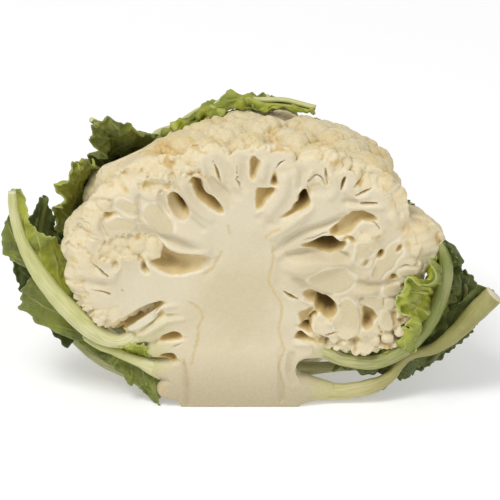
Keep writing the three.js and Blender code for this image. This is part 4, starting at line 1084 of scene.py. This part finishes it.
def add_blade(leaf, index):
    """The green sheet of a leaf, from its rib to its rims, with a front and a back."""
    rib, start = leaf["rib"], leaf["start"]
    left, right = leaf.get("left"), leaf.get("right")
    height, count = leaf["wave"]
    rows = BLADE_ROWS
    u = np.linspace(0, 1, rows)
    v = np.linspace(-1 if left else 0, 1 if right else 0, BLADE_COLUMNS * (2 if left and right else 1) + 1)
    share = start + (1 - start) * u
    line = along(rib, share)
    _, up = frames(leaf, share)
    middle = line[:, :3] + up * (line[:, 3:] * 0.7 + BLADE_LIFT)
    folded = np.zeros(rows)
    if "ridge" in leaf:
        folded = smooth(FOLDED["ends"] - u, 0, 0.08) * smooth(u, *FOLDED["starts"])
        raised = line[:, :3] + [0, *leaf["ridge"]]
        middle = middle * (1 - folded[:, None]) + raised * folded[:, None]
    U, V = np.meshgrid(u, v, indexing="ij")
    sheet = np.empty(U.shape + (3,))
    for side, edge in ((-1, left), (1, right)):
        if edge is None:
            continue
        mine = v <= 0 if side < 0 else v >= 0
        rim = along(edge, u)
        teeth = (0.05 * np.abs(np.sin(u * math.pi * 11 + side + index))
                 + 0.04 * ripple(u[:, None] * 100, 9, index * 3 + side))
        fine_teeth = np.sin(u * math.pi * 37 + side)
        teeth += 0.035 * np.sign(fine_teeth) * np.abs(fine_teeth) ** 0.5
        teeth *= leaf.get("teeth", (1, 1))[side > 0]
        out = np.abs(v[mine])
        reach = out[None] * (1 + teeth[:, None] * out[None] ** 2)
        width = np.linalg.norm(rim - middle, axis=1)
        bend = 0.06 + folded * leaf.get("bow", 0)
        bow = np.sin(math.pi * np.minimum(out * 1.25, 1))[None] * (bend * width)[:, None]
        over = unit(up * (1 - folded[:, None]) + folded[:, None] * np.array([0, -0.6, 0.8]))
        sheet[:, mine] = (middle[:, None] * (1 - reach[..., None]) + rim[:, None] * reach[..., None]
                          + over[:, None] * bow[..., None])
    du = np.gradient(sheet, axis=0)
    dv = np.gradient(sheet, axis=1)
    normal = unit(np.cross(du, dv))
    span = np.maximum(np.linalg.norm(sheet[:, -1] - sheet[:, 0], axis=1), 1)[:, None]
    fade = np.sin(math.pi / 2 * np.minimum(1, 4 * U * (1 - U) + 0.3))
    wave = height * V**2 * fade * np.sin(U * math.pi * 2 * count + np.where(V < 0, 1.3, 3.9))
    wide, middling, fine, creased = leaf.get("crumple", CRUMPLE)
    crumple = wide * ripple(sheet, 13, index) + middling * ripple(sheet, 6, index + 31) * (0.4 + np.abs(V))
    sharp = 0.5 - 1.6 * np.abs(ripple(sheet, 15, index + 70))
    crumple += fine * ripple(sheet, 3, index + 47, 9) + creased * sharp
    frill = 0.9 * np.abs(V) ** 4 * ripple(sheet, 4.2, index + 5)
    slant = U * 60 - np.abs(V) ** 0.85 * 17 + 1.2 * ripple(sheet, 15, index + 9)
    vein = np.exp(-(np.abs((slant / VEIN_GAP) % 1 - 0.5) / 0.055) ** 2)
    vein = vein * smooth(1.05 - np.abs(V), 0, 0.5) * smooth(np.abs(V), 0, 0.06)
    middle_vein = np.exp(-(V * span / 2.2) ** 2)
    vein = np.maximum(vein, middle_vein)
    sheet = sheet + normal * (wave + crumple * smooth(np.abs(V), 0, 0.3) + frill)[..., None]
    sheet = clear_of_curd(sheet, BLADE_CLEARANCE)
    normal = unit(np.cross(np.gradient(sheet, axis=0), np.gradient(sheet, axis=1)))
    thick = HALF_THICK + 0.25 * middle_vein[..., None]
    front = sheet + normal * thick
    behind = sheet - normal * (thick + 0.3 * vein[..., None])
    points = np.concatenate([front.reshape(-1, 3), behind.reshape(-1, 3)])
    points[:, 2] = np.maximum(points[:, 2], 0.1)
    n = len(v)
    r, c = np.meshgrid(np.arange(rows - 1), np.arange(n - 1), indexing="ij")
    a = (r * n + c).ravel()
    top = np.stack([a, a + n, a + n + 1, a + 1], 1)
    other = rows * n
    under_side = top[:, ::-1] + other
    rim = np.concatenate([np.arange(n - 1), np.arange(rows - 1) * n + n - 1,
                          (rows - 1) * n + np.arange(n - 1, 0, -1), np.arange(rows - 1, 0, -1) * n])
    following = np.roll(rim, -1)
    side_faces = np.stack([rim, following, following + other, rim + other], 1)
    # Each half of the blade carries how lit or shaded it is painted.
    doubled = {key: np.tile(table.ravel(), 2) for key, table in
               dict(along=U, edge=np.abs(V), vein=vein, painted_lighting=np.where(V < 0, *leaf["shade"]),
                    rise=np.clip(crumple / (0.9 + creased) * 0.7 + 0.5, 0, 1)).items()}
    doubled["outer"] = np.repeat([0.0, 1.0], other)
    return add_mesh(leaf["name"] + "_sheet", points, np.concatenate([top, under_side, side_faces]), doubled)


# Materials.
def linear(rgb):
    """A colour given as it looks on a screen, 0 to 255, as the renderer counts it."""
    c = np.array(rgb) / 255
    return tuple(np.where(c <= 0.04045, c / 12.92, ((c + 0.055) / 1.055) ** 2.4)) + (1.0,)


# How much each named number of the head tints its cut flesh, and the tint. The tint along the rims of the
# hollows and cut branches is a painted highlight, and the one towards the bottom of the stem painted shade.
FLESH_TINTS = [("section", 0.7, (205, 191, 152)), ("lip_highlight", 0.75, (232, 223, 200)),
               ("strand", 0.75, (201, 176, 120)), ("low", 0.9, (176, 163, 132)),
               ("green", 0.75, (190, 186, 128)), ("scar", 0.5, (205, 176, 112))]


class Nodes:
    """Short calls for building one material's nodes."""

    def __init__(self, name):
        self.material = bpy.data.materials.new(name)
        self.material.use_nodes = True
        self.tree = self.material.node_tree
        self.shader = self.tree.nodes["Principled BSDF"]
        self.space = self.tree.nodes.new("ShaderNodeTexCoord").outputs["Object"]

    def put(self, value, socket):
        if isinstance(value, bpy.types.NodeSocket):
            self.tree.links.new(value, socket)
        else:
            socket.default_value = value

    def value(self, name):
        node = self.tree.nodes.new("ShaderNodeAttribute")
        node.attribute_name = name
        return node.outputs["Fac"]

    def times(self, a, b):
        node = self.tree.nodes.new("ShaderNodeMath")
        node.operation = "MULTIPLY"
        self.put(a, node.inputs[0])
        self.put(b, node.inputs[1])
        return node.outputs[0]

    def ramp(self, value, low, high, from_=0.0, to=1.0):
        node = self.tree.nodes.new("ShaderNodeMapRange")
        node.interpolation_type = "SMOOTHSTEP"
        for socket, number in zip(node.inputs[1:5], (low, high, from_, to)):
            socket.default_value = number
        self.put(value, node.inputs[0])
        return node.outputs[0]

    def noise(self, scale, detail=3.0, space=None):
        node = self.tree.nodes.new("ShaderNodeTexNoise")
        node.inputs["Scale"].default_value = scale
        node.inputs["Detail"].default_value = detail
        self.put(self.space if space is None else space, node.inputs["Vector"])
        return node.outputs["Fac"]

    def cells(self, scale):
        node = self.tree.nodes.new("ShaderNodeTexVoronoi")
        node.feature = "DISTANCE_TO_EDGE"
        node.inputs["Scale"].default_value = scale
        self.put(self.space, node.inputs["Vector"])
        return node.outputs["Distance"]

    def mix(self, share, a, b):
        node = self.tree.nodes.new("ShaderNodeMix")
        node.data_type = "RGBA"
        self.put(share, node.inputs[0])
        self.put(a, node.inputs[6])
        self.put(b, node.inputs[7])
        return node.outputs[2]

    def tint(self, colour, name, amount, rgb):
        """A colour mixed with another one where a piece's named number is high."""
        return self.mix(self.times(self.value(name), amount), colour, linear(rgb))

    def bump(self, height, distance, strength, normal=None):
        node = self.tree.nodes.new("ShaderNodeBump")
        node.inputs["Distance"].default_value = distance
        node.inputs["Strength"].default_value = strength
        self.put(height, node.inputs["Height"])
        if normal is not None:
            self.put(normal, node.inputs["Normal"])
        return node.outputs["Normal"]

    def finish(self, colour, rough, normal, inside=0.0, radius=(1, 0.6, 0.3), scale=0.002, shine=0.4):
        self.put(colour, self.shader.inputs["Base Color"])
        self.put(rough, self.shader.inputs["Roughness"])
        self.put(normal, self.shader.inputs["Normal"])
        self.shader.inputs["Specular IOR Level"].default_value = shine
        self.shader.inputs["Subsurface Weight"].default_value = inside
        self.shader.inputs["Subsurface Radius"].default_value = radius
        self.shader.inputs["Subsurface Scale"].default_value = scale
        return self.material


def head_material():
    n = Nodes("curd_flesh")
    patches = n.ramp(n.noise(34, 4), 0.45, 0.66)
    warm = n.ramp(n.noise(17, 2), 0.52, 0.7)
    mottle = n.noise(160, 4)
    speck = n.noise(900, 3)
    crease_shade = n.ramp(n.value("crease_shade"), 0.3, 1.05)
    curd = n.mix(patches, linear((214, 200, 162)), linear((207, 189, 142)))
    curd = n.mix(n.times(warm, 0.5), curd, linear((212, 188, 128)))
    fresh = n.times(n.value("cut"), n.ramp(crease_shade, 0.0, 0.6, 0.6, 0.0))
    curd = n.mix(fresh, curd, linear((221, 209, 178)))
    golden = n.times(n.times(n.value("gold"), n.ramp(crease_shade, 0.0, 0.6, 0.4, 1.0)),
                     n.ramp(n.noise(220, 4), 0.38, 0.6, 0.1, 0.9))
    curd = n.mix(golden, curd, linear((212, 176, 98)))
    # Painted shade: the creases are darkened to tan, and the golden patches show strongest there.
    creased = n.times(crease_shade, n.ramp(mottle, 0.35, 0.65, 0.45, 1.0))
    curd = n.mix(creased, curd, linear((190, 156, 90)))
    curd = n.tint(curd, "under", 0.4, (208, 202, 164))
    flesh = n.mix(n.ramp(n.noise(24, 2), 0.35, 0.65), linear((203, 190, 157)), linear((214, 203, 175)))
    flesh = n.mix(n.ramp(n.value("edge"), 0.0, 0.4, 0.55, 0.0), flesh, linear((220, 208, 178)))
    for name, amount, rgb in FLESH_TINTS:
        flesh = n.tint(flesh, name, amount, rgb)
    colour = n.mix(n.value("grown"), flesh, curd)
    # Painted shade in the hollows: golden brown, then a dark brown in the deepest.
    colour = n.mix(n.ramp(n.value("hollow_shade_mix"), 0.0, 0.9, 0.0, 1.0), colour, linear((208, 184, 124)))
    colour = n.mix(n.ramp(n.value("dark"), 0.0, 1.0, 0.0, 0.95), colour, linear((110, 84, 36)))
    colour = n.mix(n.ramp(speck, 0.3, 0.7, 0.0, 0.08), colour, linear((250, 242, 220)))
    bump = n.bump(mottle, 0.0006, 0.5, n.bump(speck, 0.00018, 0.5))
    rough = n.ramp(mottle, 0.2, 0.8, 0.46, 0.62)
    return n.finish(colour, rough, bump, inside=0.25, radius=(1.0, 0.72, 0.34), scale=0.0012, shine=0.35)


def stalk_material(name, base, tip, flesh, green):
    n = Nodes(name)
    streak = n.noise(60, 4)
    fine = n.noise(520, 3)
    join = n.tree.nodes.new("ShaderNodeCombineXYZ")
    n.put(n.times(n.value("round"), 34.0), join.inputs[0])
    n.put(n.times(n.value("reach"), 0.09), join.inputs[1])
    fibre = n.noise(1.0, 4.0, join.outputs[0])
    colour = n.mix(n.ramp(n.value("along"), 0.1, 0.55), linear(base), linear(tip))
    colour = n.mix(n.ramp(fibre, 0.4, 0.65, 0.0, 0.5), colour, linear(green))
    colour = n.mix(n.ramp(streak, 0.45, 0.7, 0.0, 0.35), colour, linear(base))
    colour = n.mix(n.value("flesh"), colour, linear(flesh))
    bump = n.bump(fibre, 0.0005, 0.5, n.bump(fine, 0.00015, 0.4))
    rough = n.ramp(fine, 0.3, 0.7, 0.38, 0.5)
    return n.finish(colour, rough, bump, inside=0.18, radius=(0.8, 0.8, 0.25), scale=0.0018, shine=0.45)


def blade_material():
    n = Nodes("leaf_blade")
    patches = n.ramp(n.noise(55, 4), 0.34, 0.66)
    wide = n.ramp(n.noise(21, 2), 0.35, 0.65)
    net = n.ramp(n.cells(420), 0.0, 0.09, 1.0, 0.0)
    fine_net = n.ramp(n.cells(1100), 0.0, 0.1, 1.0, 0.0)
    mottle = n.noise(260, 4)
    # Painted light and shade: each colour below has a shaded and a lit version, mixed by how lit each half
    # of the leaf is painted; the low numbers also stand for a leaf's own darker green.
    level = n.value("painted_lighting")
    body = n.mix(level, linear((62, 76, 20)), linear((196, 198, 46)))
    shaded = n.mix(level, linear((36, 48, 10)), linear((146, 156, 28)))
    pale = n.mix(level, linear((120, 130, 62)), linear((212, 212, 112)))
    rim = n.mix(level, linear((88, 100, 48)), linear((208, 208, 140)))
    colour = n.mix(patches, body, shaded)
    colour = n.mix(n.times(wide, 0.4), colour, shaded)
    # Painted shade in the creases of the crumples, and a painted highlight on their ridges.
    sunk = n.mix(level, linear((26, 36, 8)), linear((92, 104, 14)))
    colour = n.mix(n.ramp(n.value("rise"), 0.05, 0.5, 0.8, 0.0), colour, sunk)
    colour = n.mix(n.ramp(n.value("rise"), 0.6, 1.0, 0.0, 0.3), colour, pale)
    colour = n.mix(n.times(net, 0.2), colour, pale)
    colour = n.mix(n.times(fine_net, 0.1), colour, pale)
    colour = n.mix(n.ramp(n.value("vein"), 0.15, 0.9, 0.0, 0.75), colour, pale)
    colour = n.mix(n.ramp(n.value("edge"), 0.92, 1.0, 0.0, 0.4), colour, rim)
    colour = n.tint(colour, "outer", 0.2, (128, 138, 88))
    colour = n.mix(n.ramp(mottle, 0.3, 0.7, 0.0, 0.16), colour, rim)
    bump = n.bump(net, 0.0004, -0.5, n.bump(mottle, 0.0005, 0.6))
    rough = n.ramp(mottle, 0.3, 0.7, 0.4, 0.6)
    return n.finish(colour, rough, bump, inside=0.15, radius=(0.5, 0.9, 0.15), scale=0.0012, shine=0.3)


CUT_STALK = (221, 211, 182)
STALKS = dict(
    pale=stalk_material("stalk_pale", (222, 214, 178), (200, 199, 138), CUT_STALK, (160, 166, 84)),
    olive=stalk_material("stalk_olive", (196, 192, 138), (138, 144, 78), CUT_STALK, (98, 112, 42)),
    tan=stalk_material("stalk_tan", (198, 190, 138), (148, 146, 86), CUT_STALK, (146, 128, 66)),
    flesh=stalk_material("stalk_flesh", (220, 211, 184), (216, 207, 176), (222, 214, 190), (205, 203, 160)),
)
BLADE = blade_material()


head.data.materials.append(head_material())
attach(head, "root")
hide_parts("head")
for index, leaf in enumerate(LEAVES):
    stalk = add_rib(leaf, index)
    stalk.data.materials.append(STALKS[leaf["tone"]])
    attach(stalk, "root")
    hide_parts(leaf["name"] + "_rib")
    if "start" in leaf:
        sheet = add_blade(leaf, index)
        sheet.data.materials.append(BLADE)
        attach(sheet, "root")
        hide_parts(leaf["name"] + "_blade")


# Floor, light and camera.
def area_light(name, place, aim, size, power):
    lamp = bpy.data.lights.new(name, "AREA")
    lamp.size = size
    lamp.energy = power
    thing = bpy.data.objects.new(name, lamp)
    thing.location = place
    way = np.array(aim, float) - place
    tilt = math.acos(-way[2] / np.linalg.norm(way))
    thing.rotation_euler = (tilt, 0, math.atan2(way[1], way[0]) - math.pi / 2)
    bpy.context.scene.collection.objects.link(thing)


floor_mesh = bpy.data.meshes.new("floor")
side = 9  # m, half of the floor's width
floor_mesh.from_pydata([(-side, -side, 0), (side, -side, 0), (side, side, 0), (-side, side, 0)],
                       [], [(0, 1, 2, 3)])
floor = bpy.data.objects.new("floor", floor_mesh)
bpy.context.scene.collection.objects.link(floor)
floor_look = Nodes("floor_paint")
floor_colour = floor_look.mix(floor_look.noise(3), (0.74, 0.74, 0.74, 1), (0.76, 0.76, 0.76, 1))
floor_look.finish(floor_colour, 0.8, floor_look.bump(floor_look.noise(40), 0.0002, 0.2), shine=0.1)
floor_look.shader.inputs["Emission Color"].default_value = (1, 1, 1, 1)
floor_look.shader.inputs["Emission Strength"].default_value = 0.3
floor_mesh.materials.append(floor_look.material)

world = bpy.data.worlds.new("studio")
world.use_nodes = True
world.node_tree.nodes["Background"].inputs["Color"].default_value = (1, 1, 1, 1)
world.node_tree.nodes["Background"].inputs["Strength"].default_value = 0.54
bpy.context.scene.world = world
area_light("key", (-0.6, -0.7, 1.6), (0, 0, 0.05), 0.7, 19)
area_light("fill", (1.4, -1.2, 0.8), (0, 0, 0.06), 1.2, 5)
bpy.context.scene.view_settings.view_transform = "Standard"

CAMERA_AWAY = 6.0  # m
CAMERA_AIM = np.array([4.5, 0.0, 80.0])  # mm, in the plant's frame
PHOTO_SIZE = 500  # pixels
SENSOR = 36  # mm
camera_data = bpy.data.cameras.new("camera")
camera_data.sensor_width = SENSOR
camera_data.lens = SENSOR * CAMERA_AWAY / (PHOTO_SIZE * PIXEL / 1000)
camera_data.clip_start = 0.5
camera_data.clip_end = 60
camera = bpy.data.objects.new("camera", camera_data)
aim = (CAMERA_AIM - [0, STEM_END_CENTRE, 0]) / 1000
camera.location = aim + CAMERA_AWAY * np.array([0, -math.cos(VIEW_UP), math.sin(VIEW_UP)])
camera.rotation_euler = (math.pi / 2 - VIEW_UP, 0, 0)
bpy.context.scene.collection.objects.link(camera)
bpy.context.scene.camera = camera
